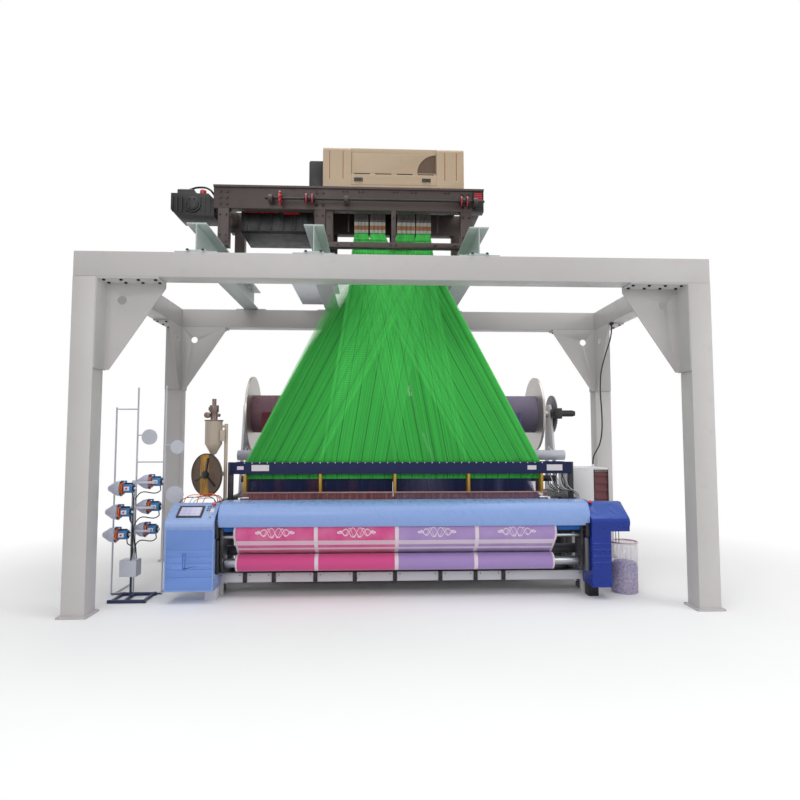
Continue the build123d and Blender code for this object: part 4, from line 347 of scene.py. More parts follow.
def wound_cloth():
    """Cloth on its roll: the same towels, placed by X, darkened between the loops as painted shade, and the
    wound layers' rings at its ends.
    """
    f = Finish(0.9)
    u = f.math("ADD", f.axis("X"), WEAVING_WIDTH / 2)
    dyed, white, strip, _ = cloth_pattern(f, u, u, ())
    y, z = f.axis("Y"), f.axis("Z")
    radius = f.distance(f.math("SUBTRACT", y, ROLL[0]), f.math("SUBTRACT", z, ROLL[1]))
    rings = f.stripes(radius, 0.008)
    ends = f.span(radius, ROLL_R - 0.004, ROLL_R - 0.002, 1.0, 0.0)
    base = f.mix(strip, dyed, white)
    base = f.mix(ends, base, f.mix(rings, srgb(226, 200, 216), white))
    loops = f.node("ShaderNodeTexVoronoi", {"Vector": f.place, "Scale": 340.0})
    # Dark pink at the edges of each loop: painted shade in the hollows between the pile loops.
    base = f.mix(f.span(loops, 0.0, 0.9, 0.0, 0.25), base, shade(PINK, 0.35))
    f.set("Base Color", base)
    f.shader.inputs["Sheen Weight"].default_value = 0.35
    return f.bump(f.math("ADD", loops, rings), 0.4, 0.003)


def cord_finish():
    """Harness cord: its own colour, kept with each cord, and a fine twist. That colour is the dye with a
    random tone, and for a few harness cords painted shade for the gaps between groups of cords.
    """
    f = Finish(0.6)
    cord_colour = f.node("ShaderNodeAttribute", {}, attribute_name="cord_colour")
    twist = f.stripes(f.axis("Z"), 0.012)
    f.set("Base Color", f.mix(f.span(twist, 0, 1, 0.0, 0.18), cord_colour, BLACK))
    return f.bump(twist, 0.3, 0.0005)


def clear_plastic():
    """The waste bin's clear sheet, lightly scuffed."""
    f = Finish(0.18)
    f.set("Base Color", srgb(236, 228, 236))
    scuff = f.noise(28, 6, 0.7, (1, 1, 0.2))
    f.set("Alpha", f.span(scuff, 0.35, 0.75, 0.10, 0.34))
    return f.bump(scuff, 0.1, 0.001)


def waste_fibres():
    """Tangled purple and white yarn waste, darkened towards deep purple between its tufts as painted shade.
    """
    f = Finish(0.95)
    tangle = f.noise(38, 8, 0.75)
    shade_between_tufts = f.node("ShaderNodeTexVoronoi", {"Vector": f.place, "Scale": 42.0})
    base = f.mix(f.span(tangle, 0.38, 0.62), srgb(110, 92, 190), srgb(226, 216, 240))
    # Deep purple at the edges of the tufts: painted shade in the pockets between them.
    f.set("Base Color", f.mix(f.span(shade_between_tufts, 0, 0.8, 0, 0.5), base, srgb(60, 40, 96)))
    return f.bump(tangle, 0.9, 0.012)


def reel_finish():
    """The selvedge reel's brown plate with yellow yarn wound down its middle."""
    f = Finish(0.6)
    x, y = f.axis("X"), f.axis("Y")
    along_x = f.math("MULTIPLY", f.math("SUBTRACT", x, REEL[0]), cos(REEL_TURN))
    along_y = f.math("MULTIPLY", f.math("SUBTRACT", y, REEL[1]), -sin(REEL_TURN))
    along = f.math("ADD", along_x, along_y)
    wound = f.noise(1.0, 4, 0.6, (160, 160, 5))
    band = f.math("MULTIPLY", f.span(along, -0.105, -0.095), f.span(along, 0.03, 0.04, 1.0, 0.0))
    yarn = f.math("MULTIPLY", band, f.span(wound, 0.42, 0.52))
    plate = f.mix(f.noise(14, 6, 0.7), srgb(70, 56, 46), srgb(120, 100, 82))
    f.set("Base Color", f.mix(yarn, plate, f.mix(wound, srgb(150, 100, 20), srgb(232, 176, 70))))
    return f.bump(wound, 0.4, 0.002)


def window_mesh():
    """The fine brown mesh behind the hood's quarter window."""
    f = Finish(0.5, 0.3)
    weave = f.math("MULTIPLY", f.stripes(f.axis("X"), 0.006), f.stripes(f.axis("Z"), 0.006))
    f.set("Base Color", f.mix(f.span(weave, 0.2, 0.6), srgb(92, 70, 54), srgb(34, 24, 18)))
    return f.bump(weave, 0.6, 0.002)


def display():
    """The control display: a pale page with plain blocks, lit a little."""
    f = Finish(0.15)
    x, z = f.axis("X"), f.axis("Z")
    cells = f.math("MULTIPLY", f.stripes(x, 0.052), f.stripes(z, 0.026))
    page = f.mix(f.span(cells, 0.35, 0.45), srgb(182, 180, 214), srgb(148, 150, 196))
    tint = srgb(196, 194, 224)
    f.set("Base Color", f.mix(f.noise(5, 3), page, tint))
    f.set("Emission Color", tint)
    f.shader.inputs["Emission Strength"].default_value = 0.12
    return f.bump(f.noise(600, 2), 0.05, 0.0002)


FINISH = {
    "gantry": paint(GANTRY_GREY, 0.38, dust=0.10),
    "bolt": steel(srgb(26, 25, 28), 0.38, metallic=0.3),
    "platform": paint(PLATFORM_GREY, 0.36),
    "jacquard": paint(JACQUARD_GREY, 0.45, wear=0.35),
    "drive": paint(srgb(20, 19, 22), 0.42, wear=0.1, dust=0.03),
    "hood": paint(HOOD_BEIGE, 0.35),
    "hood_groove": plastic(srgb(150, 96, 52)),
    "module": hook_bank((
        (3.900, srgb(60, 170, 80)), (MODULE_BOTTOM, srgb(226, 226, 214)), (4.175, srgb(196, 138, 90)),
        (4.226, srgb(232, 230, 220)), (4.270, srgb(120, 112, 112)), (4.300, srgb(80, 74, 76))), 0.0105),
    "cord": cord_finish(),
    "navy": paint(RAIL_NAVY, 0.48, wear=0.12),
    "aluminium": steel(srgb(196, 200, 206), 0.35),
    "brass": paint(BRASS, 0.4),
    "frame": paint(srgb(50, 50, 56), 0.45, dust=0.12),
    "white_frame": paint(srgb(218, 218, 222), 0.4),
    "steel": steel(srgb(176, 178, 184)),
    "dull_steel": steel(srgb(110, 110, 116), 0.45, metallic=0.7),
    "reed": steel(srgb(150, 116, 112), 0.42, (40, 40, 1), 0.5),
    "cover": paint(COVER_BLUE, 0.26, tone=0.03, wear=0.05),
    "pale_cover": paint(PALE_BLUE, 0.26, tone=0.03, wear=0.05),
    "door": paint(srgb(112, 146, 214), 0.3, tone=0.04, wear=0.06),
    "deep_cover": paint(DEEP_BLUE, 0.28, tone=0.05, wear=0.08),
    "deep_top": paint(srgb(56, 88, 174), 0.3, tone=0.04, wear=0.05),
    "cable_white": rubber(srgb(200, 200, 204)),
    "cable_orange": rubber(srgb(226, 96, 40)),
    "cabinet": paint(srgb(226, 226, 228), 0.4, tone=0.03),
    "brown_panel": paint(srgb(112, 66, 70), 0.55),
    "black": plastic(BLACK, 0.35),
    "red": plastic(SIGNAL_RED, 0.25),
    "key": plastic(srgb(210, 212, 218), 0.3),
    "green_key": plastic(srgb(60, 150, 110), 0.3),
    "rubber_blue": rubber(srgb(24, 92, 170)),
    "rubber_black": rubber(srgb(30, 30, 34)),
    "flange": steel(srgb(186, 182, 178), 0.35, (1, 30, 30), 0.8),
    "warp": yarn_sheet(),
    "filter": paint(srgb(190, 176, 160), 0.4),
    "valve": steel(srgb(120, 104, 98), 0.4, (1, 1, 1)),
    "reel": reel_finish(),
    "feeder_blue": paint(srgb(58, 120, 176), 0.35),
    "feeder_grey": paint(srgb(190, 192, 210), 0.3),
    "orange": plastic(srgb(232, 96, 44), 0.3),
    "tube_navy": paint(srgb(34, 46, 84), 0.35),
    "pale_steel": paint(srgb(196, 198, 208), 0.3),
    "clear": clear_plastic(),
    "waste": waste_fibres(),
    "rim": plastic(srgb(226, 196, 204), 0.35),
    "wound": wound_cloth(),
    "mesh_brown": window_mesh(),
    "display": display(),
    "yellow_yarn": plastic(srgb(226, 170, 60), 0.8, 300),
    "white_yarn": plastic(srgb(236, 232, 226), 0.8, 300),
    "bare_plate": paint(srgb(232, 226, 230), 0.35, tone=0.02, wear=0.05),
    "terry": terry(((0.652, 0.702, 0.75), (0.752, 0.795, 0.9)), (0.518, 0.616, 0.205)),
}
for finish_name, material in FINISH.items():
    material.name = finish_name


# Making pieces
def placed(name, data, body, replaces=()):
    """Puts a mesh or curve in the scene as a piece, and sets it on its body."""
    data.name = name
    piece = bpy.data.objects.new(name, data)
    scene.collection.objects.link(piece)
    if body:
        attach(piece, body)
    if replaces:
        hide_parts(*replaces)
    return piece


def finished(name, bm, finishes, body="loom", replaces=()):
    """Makes a piece of a bmesh: finishes it, and smooths its shallow edges."""
    mesh = bpy.data.meshes.new(name)
    bm.to_mesh(mesh)
    bm.free()
    mesh.shade_smooth()
    mesh.set_sharp_from_angle(angle=SMOOTH_BELOW)
    for finish in finishes:
        mesh.materials.append(FINISH[finish])
    return placed(name, mesh, body, replaces)


def merged(node):
    """A copy of a CAD node's mesh with its doubles merged and its flat faces joined."""
    bm = bmesh.new()
    bm.from_mesh(frame["nodes"][node].data)
    bmesh.ops.remove_doubles(bm, verts=bm.verts, dist=SAME_PLACE)
    bmesh.ops.dissolve_limit(bm, angle_limit=FLAT_WITHIN, verts=bm.verts, edges=bm.edges)
    return bm


def linked_verts(start):
    """Every vertex joined to this one by edges."""
    found, front = {start}, [start]
    while front:
        front = [e.other_vert(v) for v in front for e in v.link_edges]
        front = [v for v in set(front) if v not in found]
        found.update(front)
    return list(found)


def without(bm, unwanted):
    """Deletes the loose parts whose heights pass a test."""
    picked = [v for v in bm.verts if v.is_valid and unwanted([w.co.z for w in linked_verts(v)])]
    bmesh.ops.delete(bm, geom=picked, context="VERTS")


def rounded(bm, width, segments=2):
    """Rounds the sharp edges, except where two solids touch."""
    touching = {v for e in bm.edges if not e.is_manifold for v in e.verts}
    sharp = [e for e in bm.edges if e.is_manifold and e.calc_face_angle() > ROUND_ABOVE
             and not touching.intersection(e.verts)]
    bmesh.ops.bevel(bm, geom=sharp, offset=width, offset_type="OFFSET", affect="EDGES", segments=segments,
                    profile=0.5, material=-1, clamp_overlap=True)


def dressed(node, finishes, width, segments=2, rule=None):
    """Stands for a CAD node: the same shape with rounded edges, in one finish or several."""
    bm = merged(node)
    if rule:
        for face in bm.faces:
            face.material_index = rule(face.calc_center_median(), face.normal)
    if width:
        rounded(bm, width, segments)
    body = frame["nodes"][node]["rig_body"]
    finished(node + "_dressed", bm, finishes, body, (node,))


def paint_faces(verts, index):
    """Gives the faces of these vertices a finish."""
    for face in {f for v in verts for f in v.link_faces}:
        face.material_index = index


def slab(bm, low, high, index=0):
    """A box between two corners."""
    low, high = Vector(low), Vector(high)
    size = Matrix.Diagonal((*(high - low), 1.0))
    made = bmesh.ops.create_cube(bm, size=1.0, matrix=Matrix.Translation((low + high) / 2) @ size)
    paint_faces(made["verts"], index)


def slope_slab(bm, x, along, height, size, index=0):
    """A flat plate on the cabinet's sloping panel: along it from the shoulder, and height above it."""
    y = SHOULDER[0] + along * cos(SLOPE_ANGLE) - height * sin(SLOPE_ANGLE)
    z = SHOULDER[1] + along * sin(SLOPE_ANGLE) + height * cos(SLOPE_ANGLE)
    place = Matrix.Translation((x, y, z)) @ Matrix.Rotation(SLOPE_ANGLE, 4, "X")
    made = bmesh.ops.create_cube(bm, size=1.0, matrix=place @ Matrix.Diagonal((*size, 1.0)))
    paint_faces(made["verts"], index)


def rod(bm, start, end, r, index=0, segments=16):
    """A round bar."""
    start, end = Vector(start), Vector(end)
    turn = (end - start).to_track_quat("Z", "Y").to_matrix().to_4x4()
    made = bmesh.ops.create_cone(bm, cap_ends=True, segments=segments, radius1=r, radius2=r,
                                 depth=(end - start).length,
                                 matrix=Matrix.Translation((start + end) / 2) @ turn)
    paint_faces(made["verts"], index)


def bolts(bm, places, r=0.015, deep=0.012, way=FRONT, index=0):
    """Hexagon heads that stand on a face at these places."""
    sunk = 0.001
    for place in places:
        place = Vector(place)
        rod(bm, place - Vector(way) * sunk, place + Vector(way) * deep, r, index, 6)


def turns(count, first=0.0):
    """The angles of this many places round a circle."""
    return [first + i * 2 * pi / count for i in range(count)]


def lathe(bm, profile, origin, way, index=0):
    """Turns a profile of (distance along the axis, radius) round an axis."""
    origin, way = Vector(origin), Vector(way).normalized()
    side = way.orthogonal().normalized()
    verts = [bm.verts.new(origin + way * along + side * r) for along, r in profile]
    edges = [bm.edges.new(pair) for pair in zip(verts, verts[1:])]
    if profile[0][1] > 0:
        edges.append(bm.edges.new((verts[-1], verts[0])))
    bmesh.ops.spin(bm, geom=verts + edges, cent=origin, axis=way, angle=2 * pi, steps=LATHE_STEPS,
                   use_merge=True, use_duplicate=False)
    bmesh.ops.remove_doubles(bm, verts=linked_verts(verts[0]), dist=SAME_PLACE)
    made = linked_verts(next(v for v in reversed(bm.verts[:]) if v.is_valid))
    bmesh.ops.recalc_face_normals(bm, faces=list({f for v in made for f in v.link_faces}))
    paint_faces(made, index)


# Curves
def curve_of(lines, kind="POLY", r=0.0, around=0):
    """A curve with a spline for each line of places, round if it has a radius."""
    data = bpy.data.curves.new("line", "CURVE")
    data.dimensions, data.bevel_depth, data.bevel_resolution = "3D", r, around
    for line in lines:
        spline = data.splines.new(kind)
        spline.points.add(len(line) - 1)
        spline.points.foreach_set("co", [c for p in line for c in (*p, 1.0)])
    return data


def mesh_of(data):
    """The mesh that a curve makes. The curve is thrown away."""
    guide = bpy.data.objects.new("guide", data)
    mesh = bpy.data.meshes.new_from_object(guide)
    bpy.data.objects.remove(guide)
    bpy.data.curves.remove(data)
    return mesh


def smooth_line(points, steps=8):
    """A smooth line through points, as a list of places."""
    data = curve_of(())
    data.resolution_u = steps
    spline = data.splines.new("BEZIER")
    spline.bezier_points.add(len(points) - 1)
    for knot, place in zip(spline.bezier_points, points):
        knot.co = place
        knot.handle_left_type = knot.handle_right_type = "AUTO"
    mesh = mesh_of(data)
    line = [v.co.copy() for v in mesh.vertices]
    bpy.data.meshes.remove(mesh)
    return line


def pipe(bm, points, r, index=0, around=3):
    """A round hose or wire along a smooth line."""
    data = curve_of([smooth_line(points)], r=r, around=around)
    data.use_fill_caps = True
    mesh = mesh_of(data)
    for polygon in mesh.polygons:
        polygon.material_index = index
    before = set(bm.verts)
    bm.from_mesh(mesh)
    bmesh.ops.remove_doubles(bm, verts=[v for v in bm.verts if v not in before], dist=SAME_PLACE)
    bpy.data.meshes.remove(mesh)


def strands(name, lines, radius, cord_colours, body="loom", replaces=()):
    """Many thin cords in one piece, each with its own colour."""
    mesh = mesh_of(curve_of(lines, r=radius))
    around = len(mesh.vertices) // sum(len(line) for line in lines)
    colours = []
    for line, cord_colour in zip(lines, cord_colours):
        colours += [*cord_colour] * (around * len(line))
    layer = mesh.color_attributes.new("cord_colour", "FLOAT_COLOR", "POINT")
    layer.data.foreach_set("color", colours)
    mesh.materials.clear()
    mesh.materials.append(FINISH["cord"])
    mesh.shade_smooth()
    return placed(name, mesh, body, replaces)


# Supply cable
CABLE_R = 0.009
CABLE_ROUTE = (
    (3.010, 0.640, 3.260), (3.010, 0.640, 3.120), (2.920, 0.640, 2.870), (2.836, 0.625, 2.610),
    (2.816, 0.610, 2.340), (2.828, 0.595, 2.070), (2.822, 0.575, 1.810), (2.770, 0.545, 1.600),
    (2.655, 0.500, 1.470), (2.655, 0.500, 1.360),
)


def supply_cable():
    """The cable that hangs from a clip under the right beam and goes into the cabinet's gland."""
    data = curve_of([CABLE_ROUTE], "NURBS", CABLE_R, 4)
    data.splines[0].order_u = 3
    data.splines[0].use_endpoint_u = True
    data.use_fill_caps = True
    data.materials.append(FINISH["rubber_black"])
    cable = placed("supply_cable_line", data, "loom", ("supply_cable",))
    bm = merged("supply_cable")
    exit_z = CABLE_ROUTE[0][2]
    without(bm, lambda heights: min(heights) < exit_z - 0.1)
    rounded(bm, 0.004)
    clip = finished("cable_clip", bm, ["rubber_black"], replaces=("supply_cable",))


# Harness: every hook carries one cord to each of the four bays
BAYS = 4
HOOKS_ACROSS = 96
HOOK_ROWS = 14
CORD_R = 0.0019
HEDDLE_R = 0.0009
SPRING_R = 0.0022
HOOK_INSET = 0.003
WIDE_EDGE = 0.004
WIDE_SPREAD = 1.016
KNEE_OUT = 0.28
KNEE_BACK = 0.25
OLIVE_FROM_ROW = 11
# Every this many columns, a cord of the front rows is darkened: painted shade for the gaps between groups
# of cords.
GAP_SHADE_EVERY = 16


def stagger(row):
    """How far a row of hooks stands beside the first, as a share of a column."""
    return (row * 0.618) % 1 * 0.98


def row_y(row, depth):
    """How far back a row stands in a harness of this depth."""
    return HARNESS_Y + depth * ((row + 0.5) / HOOK_ROWS - 0.5)


def hook_x(column, row):
    """Where a hook's cord starts under the banks."""
    module, step = divmod((column + stagger(row)) * len(MODULE_SPANS) / HOOKS_ACROSS, 1)
    left, right = MODULE_SPANS[int(module)]
    return left + HOOK_INSET + (right - left - 2 * HOOK_INSET) * step


def board_x(bay, column, row, edge=BAY_EDGE):
    """Where that cord passes through the board."""
    left = (bay - 2) * BAY_PITCH + edge
    width = BAY_PITCH - 2 * edge
    return left + width * (column + stagger(row)) / HOOKS_ACROSS


def harness():
    """The cords of the four bays, fanned out from the hook banks."""
    pick = random.Random(7)
    fall = (MODULE_BOTTOM - HARNESS_KNEE_Z) / (MODULE_BOTTOM - BOARD_Z)
    for bay in range(BAYS):
        lines, cord_colours = [], []
        for row in range(HOOK_ROWS):
            top_y, foot_y = row_y(row, HARNESS_TOP_DEPTH), row_y(row, HARNESS_FOOT_DEPTH)
            for column in range(HOOKS_ACROSS):
                share = (column + stagger(row)) / HOOKS_ACROSS
                wide_x = board_x(bay, column, row, WIDE_EDGE) * WIDE_SPREAD
                knee_x = MODULE_SPANS[0][0] + (MODULE_SPANS[-1][1] - MODULE_SPANS[0][0]) * share
                knee_x += (wide_x - knee_x) * fall * KNEE_OUT
                knee_y = top_y + (foot_y - top_y) * fall * KNEE_BACK
                lines.append([
                    (hook_x(column, row), top_y, MODULE_BOTTOM), (knee_x, knee_y, HARNESS_KNEE_Z),
                    (wide_x, foot_y, BOARD_Z), (board_x(bay, column, row), foot_y, HARNESS_FOOT_Z),
                ])
                cord_colour = OLIVE if bay == 0 and row >= OLIVE_FROM_ROW else CORD_GREEN
                # A few front-row cords are darkened to 0.42: painted shade standing for the gaps between
                # groups of cords.
                depth = 0.42 if column % GAP_SHADE_EVERY == 3 + bay and row < 5 else 1.0
                cord_colours.append(shade(cord_colour, depth * pick.uniform(0.72, 1.16)))
        replaced = ("harness_cords",) if bay == 0 else ()
        strands(f"harness_bay_{bay + 1}", lines, CORD_R, cord_colours, replaces=replaced)


def heddles():
    """The heddle wires under the board, and the springs that pull them down."""
    pick = random.Random(11)
    wires, wire_dyes, coils, coil_dyes = [], [], [], []
    for bay in range(BAYS):
        for row in range(0, HOOK_ROWS, 2):
            y = row_y(row, HARNESS_FOOT_DEPTH)
            for column in range(HOOKS_ACROSS):
                x = board_x(bay, column, row)
                wires.append([(x, y, HARNESS_FOOT_Z), (x, y, HEDDLE_BOTTOM), (x, y, SPRING_TOP)])
                wire_dyes.append(shade(HEDDLE_BLUE, pick.uniform(0.5, 1.5)))
                if column % 2 == 0:
                    coils.append([(x, y, SPRING_TOP), (x, y, SPRING_BOTTOM)])
                    coil_dyes.append(shade(SPRING_GREY, pick.uniform(0.7, 1.2)))
    strands("heddle_wires", wires, HEDDLE_R, wire_dyes, replaces=("heddle_bank",))
    strands("spring_coils", coils, SPRING_R, coil_dyes, replaces=("return_springs",))


# Cloth
CLOTH_PATH = (
    (-0.546, 1.016), (-0.625, 1.014), (-0.735, 0.985), (-0.850, 0.925), (-0.922, 0.850), (-0.939, 0.780),
    (-0.950, 0.700), (-0.948, 0.640), (-0.900, 0.560), (-0.800, 0.498), (-0.736, 0.455),
)
CLOTH_STEPS = 85
RIPPLE = 0.010
EDGE_PULL = 0.016
FREE_TOP = 0.80
FREE_BOTTOM = 0.46


def front_cloth():
    """The cloth from the fell over the beam and down to its roll, one sheet with slightly wavy edges."""
    line = smooth_line([(-WEAVING_WIDTH / 2, y, z) for y, z in CLOTH_PATH], 6)
    along, far = {}, 0.0
    for i, place in enumerate(line):
        far += (place - line[i - 1]).length if i else 0.0
        along[(round(place.y, 5), round(place.z, 5))] = far
    bm = bmesh.new()
    verts = [bm.verts.new(place) for place in line]
    edges = [bm.edges.new(pair) for pair in zip(verts, verts[1:])]
    bmesh.ops.spin(bm, geom=verts + edges, cent=(0, 0, 0), axis=ALONG, angle=0.0, steps=CLOTH_STEPS,
                   dvec=(WEAVING_WIDTH / CLOTH_STEPS, 0, 0), use_duplicate=False)
    uv = bm.loops.layers.uv.new("UVMap")
    for face in bm.faces:
        for loop in face.loops:
            co = loop.vert.co
            loop[uv].uv = (co.x + WEAVING_WIDTH / 2, along[(round(co.y, 5), round(co.z, 5))])
    for vert in bm.verts:
        co = vert.co
        free = max(0.0, min(1.0, (FREE_TOP - co.z) / 0.2))
        free *= max(0.0, min(1.0, (co.z - FREE_BOTTOM) / 0.08))
        ripple = noise.noise(Vector((co.x * 2.4, co.z * 5, 3.1)))
        co.y += RIPPLE * free * ripple
        pull = EDGE_PULL * free * sin((co.z - FREE_BOTTOM) * 17)
        co.x -= pull * (1 if co.x > 0 else -1) * abs(co.x * 2 / WEAVING_WIDTH) ** 6
    bmesh.ops.recalc_face_normals(bm, faces=bm.faces)
    piece = finished("front_cloth", bm, ["terry"], replaces=("cloth",))
    body = piece.modifiers.new("thickness", "SOLIDIFY")
    body.thickness, body.offset = CLOTH_THICK, 0.0


# CAD nodes that keep their shape: which of their faces take which finish
def inside(x=ALL, y=ALL, z=ALL):
    """A rule: a face whose middle lies in these spans takes the second finish."""
    return lambda place, normal: int(all(low < v < high for v, (low, high) in zip(place, (x, y, z))))


def levels(*steps):
    """A rule: a face takes the finish of the first step, (height, finish), that ends above it."""
    return lambda place, normal: next(index for height, index in steps if place.z < height)


def door_rule(place, normal):
    """The two pull slots of the hood's panel are black."""
    slots = inside((-0.471, -0.387), (-0.7265, -0.717), (4.620, 4.6385))
    others = inside((0.300, 0.384), (-0.7265, -0.717), (4.620, 4.6385))
    return slots(place, normal) or others(place, normal)


def right_cover_rule(place, normal):
    """The right cover's top is paler than its sides, and its foot is black."""
    if place.z < 0.1:
        return 2
    return 1 if place.z > 0.85 and normal.z > 0.3 else 0


def reel_rule(place, normal):
    """The reel's spider and hub are black; its plate and rim are not."""
    out = Vector((-sin(REEL_TURN), -cos(REEL_TURN), 0.0))
    away = place - Vector(REEL)
    height = away.dot(out)
    return 1 if height > 0.0075 and (away - out * height).length < 0.215 else 0


def feeder_rule(place, normal):
    """The feeders' bells and drums are grey; their housings and arms are blue."""
    x, y, z = min(FEEDER_SPOTS, key=lambda spot: (Vector(spot) - place).length)
    return 1 if place.x < x + 0.010 and hypot(place.y - y, place.z - z) < 0.085 else 0


def dress_gantry():
    """The gantry's columns and its box beams. The side beams end just inside the long ones."""
    dressed("gantry_columns", ["gantry"], 0.003)
    inner_x, outer_x, inner_y, outer_y, bottom, top, inset = 2.98, 3.2, 1.195, 1.415, 3.290, 3.545, 0.0005
    side_y = inner_y + inset
    bm = bmesh.new()
    for side in (-1, 1):
        near, far = sorted((side * inner_y, side * outer_y))
        slab(bm, (-outer_x, near, bottom), (outer_x, far, top))
        near, far = sorted((side * inner_x, side * outer_x))
        slab(bm, (near, -side_y, bottom + inset), (far, side_y, top - inset))
    rounded(bm, 0.007, 3)
    finished("gantry_beams_dressed", bm, ["gantry"], replaces=("gantry_beams",))


HALF_ROLL = WEAVING_WIDTH / 2 + 0.001
DRESS = (
    # node, finishes, how far its edges are rounded, in how many steps, and the rule for its finishes
    ("corner_brackets", "gantry", 0.0015, 1),
    ("gantry_bolts", "bolt", 0.002, 1),
    ("platform_beams", "platform", 0.002),
    ("service_walkway", "aluminium", 0.001, 1),
    ("jacquard_frame", "jacquard", 0.002),
    ("drive_gearbox", "drive red", 0.005, 2, inside(x=(-2.243, -2.145), z=(4.465, FAR))),
    ("drive_housing", "drive red", 0.003, 2, inside((-FAR, -1.36), (-FAR, -0.481), (4.312, 4.35))),
    ("jacquard_hood", "hood", 0.002),
    ("hood_door", "hood black", 0.0015, 2, door_rule),
    ("jacquard_side_box", "drive", 0.004),
    ("hook_modules", "module", 0),
    ("jacquard_drive_shaft", "drive red", 0.001, 1, inside(x=(-1.31, -1.275))),
    ("comber_frame", "navy", 0.001, 1),
    ("heddle_dividers", "brass", 0.002),
    ("side_frame_left", "frame", 0.004),
    ("side_frame_right", "frame", 0.004),
    ("cross_members", "frame steel", 0.002, 2, inside(y=(-FAR, -0.8), z=(0.63, 0.69))),
    ("front_base_beam", "white_frame black", 0.002, 2, inside(y=(-FAR, -0.651))),
    ("sley", "dull_steel", 0.002),
    ("reed", "reed", 0.0005, 1),
    ("temples", "steel", 0.001, 1),
    ("tension_roll", "pale_steel", 0.003),
    ("beam_stands", "white_frame", 0.003),
    ("let_off_motors", "drive", 0.003),
    ("take_up_roller", "steel rubber_blue", 0.002, 2, inside(x=(-1.95, 1.95))),
    ("cloth_roll", "steel wound", 0.004, 2, inside(x=(-HALF_ROLL, HALF_ROLL))),
    ("pile_beam", "flange dull_steel", 0.003, 1, inside(x=(2.1, FAR))),
    ("ground_beam", "flange warp", 0.003, 1, inside(x=(-1.84, 1.84))),
    ("pile_warp", "warp", 0),
    ("breast_cover", "cover", 0.0012),
    ("left_cabinet", "cover pale_cover white_frame", 0.005, 3, levels((0.1, 2), (0.79, 0), (FAR, 1))),
    ("left_cabinet_door", "door", 0.0014, 1),
    ("control_panel", "black", 0.002),
    ("right_cover", "deep_cover deep_top black", 0.005, 3, right_cover_rule),
    ("stop_button_left", "red", 0.001),
    ("stop_button_right", "red", 0.001),
    ("start_button", "green_key", 0.001),
    ("jog_button", "key", 0.001),
    ("electrical_cabinet", "cabinet brown_panel", 0.002, 2, inside((2.52, 2.69), (-FAR, 0.116))),
    ("electrical_cabinet_door", "cabinet black", 0.001, 2, inside((2.45, FAR), (-FAR, 0.0965))),
    ("filter_unit", "filter valve", 0.0015, 2, inside(z=(1.90, FAR))),
    ("selvedge_reel", "reel black", 0.001, 2, reel_rule),
    ("feeder_stand", "pale_steel tube_navy", 0.001, 1, inside(y=(-FAR, -0.57), z=(-FAR, 0.24))),
    ("feeder_bodies", "feeder_blue feeder_grey", 0.001, 1, feeder_rule),
    *((f"feeder_disc_{i}", "orange", 0.002) for i in range(1, 7)),
    ("waste_bin", "clear rim black", 0, 2, levels((0.5401, 0), (0.557, 1), (FAR, 2))),
    ("bin_waste", "waste", 0),
)


# Details of the jacquard head
def hood_details():
    """Liners in the hood's grooves, its quarter window, black plates of painted shade in its slots, and bow
    grips.
    """
    bottom, top = 4.632, 4.953
    bm = bmesh.new()
    for x in (-0.760, -0.608, 0.548, 0.680):
        slab(bm, (x, -0.7282, bottom), (x + 0.010, -0.7268, top))
    slab(bm, (-0.505, -0.7012, 4.9540), (0.455, -0.7000, 4.9560))
    finished("groove_liners", bm, ["hood_groove"])
    bm = bmesh.new()
    corner = (0.453, -0.6966, 4.722)
    bmesh.ops.create_circle(bm, cap_ends=True, radius=0.212, segments=96,
                            matrix=Matrix.Translation(corner) @ Matrix.Rotation(pi / 2, 4, "X"))
    window_top = (0, 0, 4.936)
    for place, outwards in (((corner[0], 0, 0), ALONG), ((0, 0, corner[2]), (0, 0, -1)), (window_top, UP)):
        geom = bm.verts[:] + bm.edges[:] + bm.faces[:]
        bmesh.ops.bisect_plane(bm, geom=geom, plane_co=place, plane_no=outwards, clear_outer=True)
    # Four flat black plates across the hood: painted shade standing for the dark insides of its slots.
    pitch = 0.9716 / 4
    half = pitch * 0.37
    for i in range(4):
        x = -0.5115 + pitch * (i + 0.5)
        slab(bm, (x - half, -0.6975, 4.697), (x + half, -0.6962, 4.711), 1)
    for x in (-0.429, 0.342):
        pipe(bm, [(x - 0.040, -0.722, 4.634), (x - 0.034, -0.742, 4.617), (x, -0.752, 4.606),
                  (x + 0.034, -0.742, 4.617), (x + 0.040, -0.722, 4.634)], 0.008, 1)
        slab(bm, (x - 0.050, -0.7325, 4.632), (x + 0.050, -0.7285, 4.646), 1)
    finished("door_details", bm, ["mesh_brown", "black"], "hood_panel")


def frame_bolts():
    """The bolt groups on the jacquard frame's beams and legs."""
    bm = bmesh.new()
    y = FRAME_FRONT
    leg_bolt, beam_bolt = 0.010, 0.009
    for x in (-1.938, -0.862, 0.797):
        for dx in (-0.036, 0.036):
            bolts(bm, [(x + dx, y, z) for z in (4.330, 4.400, 4.470)])
            bolts(bm, [(x + dx, y, z) for z in (3.900, 3.975, 4.210)], leg_bolt)
    for x in (-0.600, -0.420, -0.030, 0.180, 0.560):
        bolts(bm, [(x, y, 4.490), (x + 0.045, y, 4.490)], beam_bolt)
    for x in (-0.66, -0.50, -0.06, 0.0, 0.45, 0.68):
        bolts(bm, [(x, y, 3.880)], leg_bolt)
    for x, z in ((-0.7555, 3.98), (-0.7555, 4.20), (-0.03, 3.98), (-0.03, 4.20)):
        bolts(bm, [(x, y, z)], beam_bolt)
    platform_top, rail_top = 3.562, 3.8510
    for x in (-2.02, -0.855, 0.82):
        for side in (-0.075, 0.075):
            bolts(bm, [(x + side, -1.425, platform_top)], 0.014, way=UP)
            bolts(bm, [(x + side, rail_y, rail_top) for rail_y in (-0.660, 0.160)], 0.013, way=UP)
    finished("frame_bolts", bm, ["bolt"])


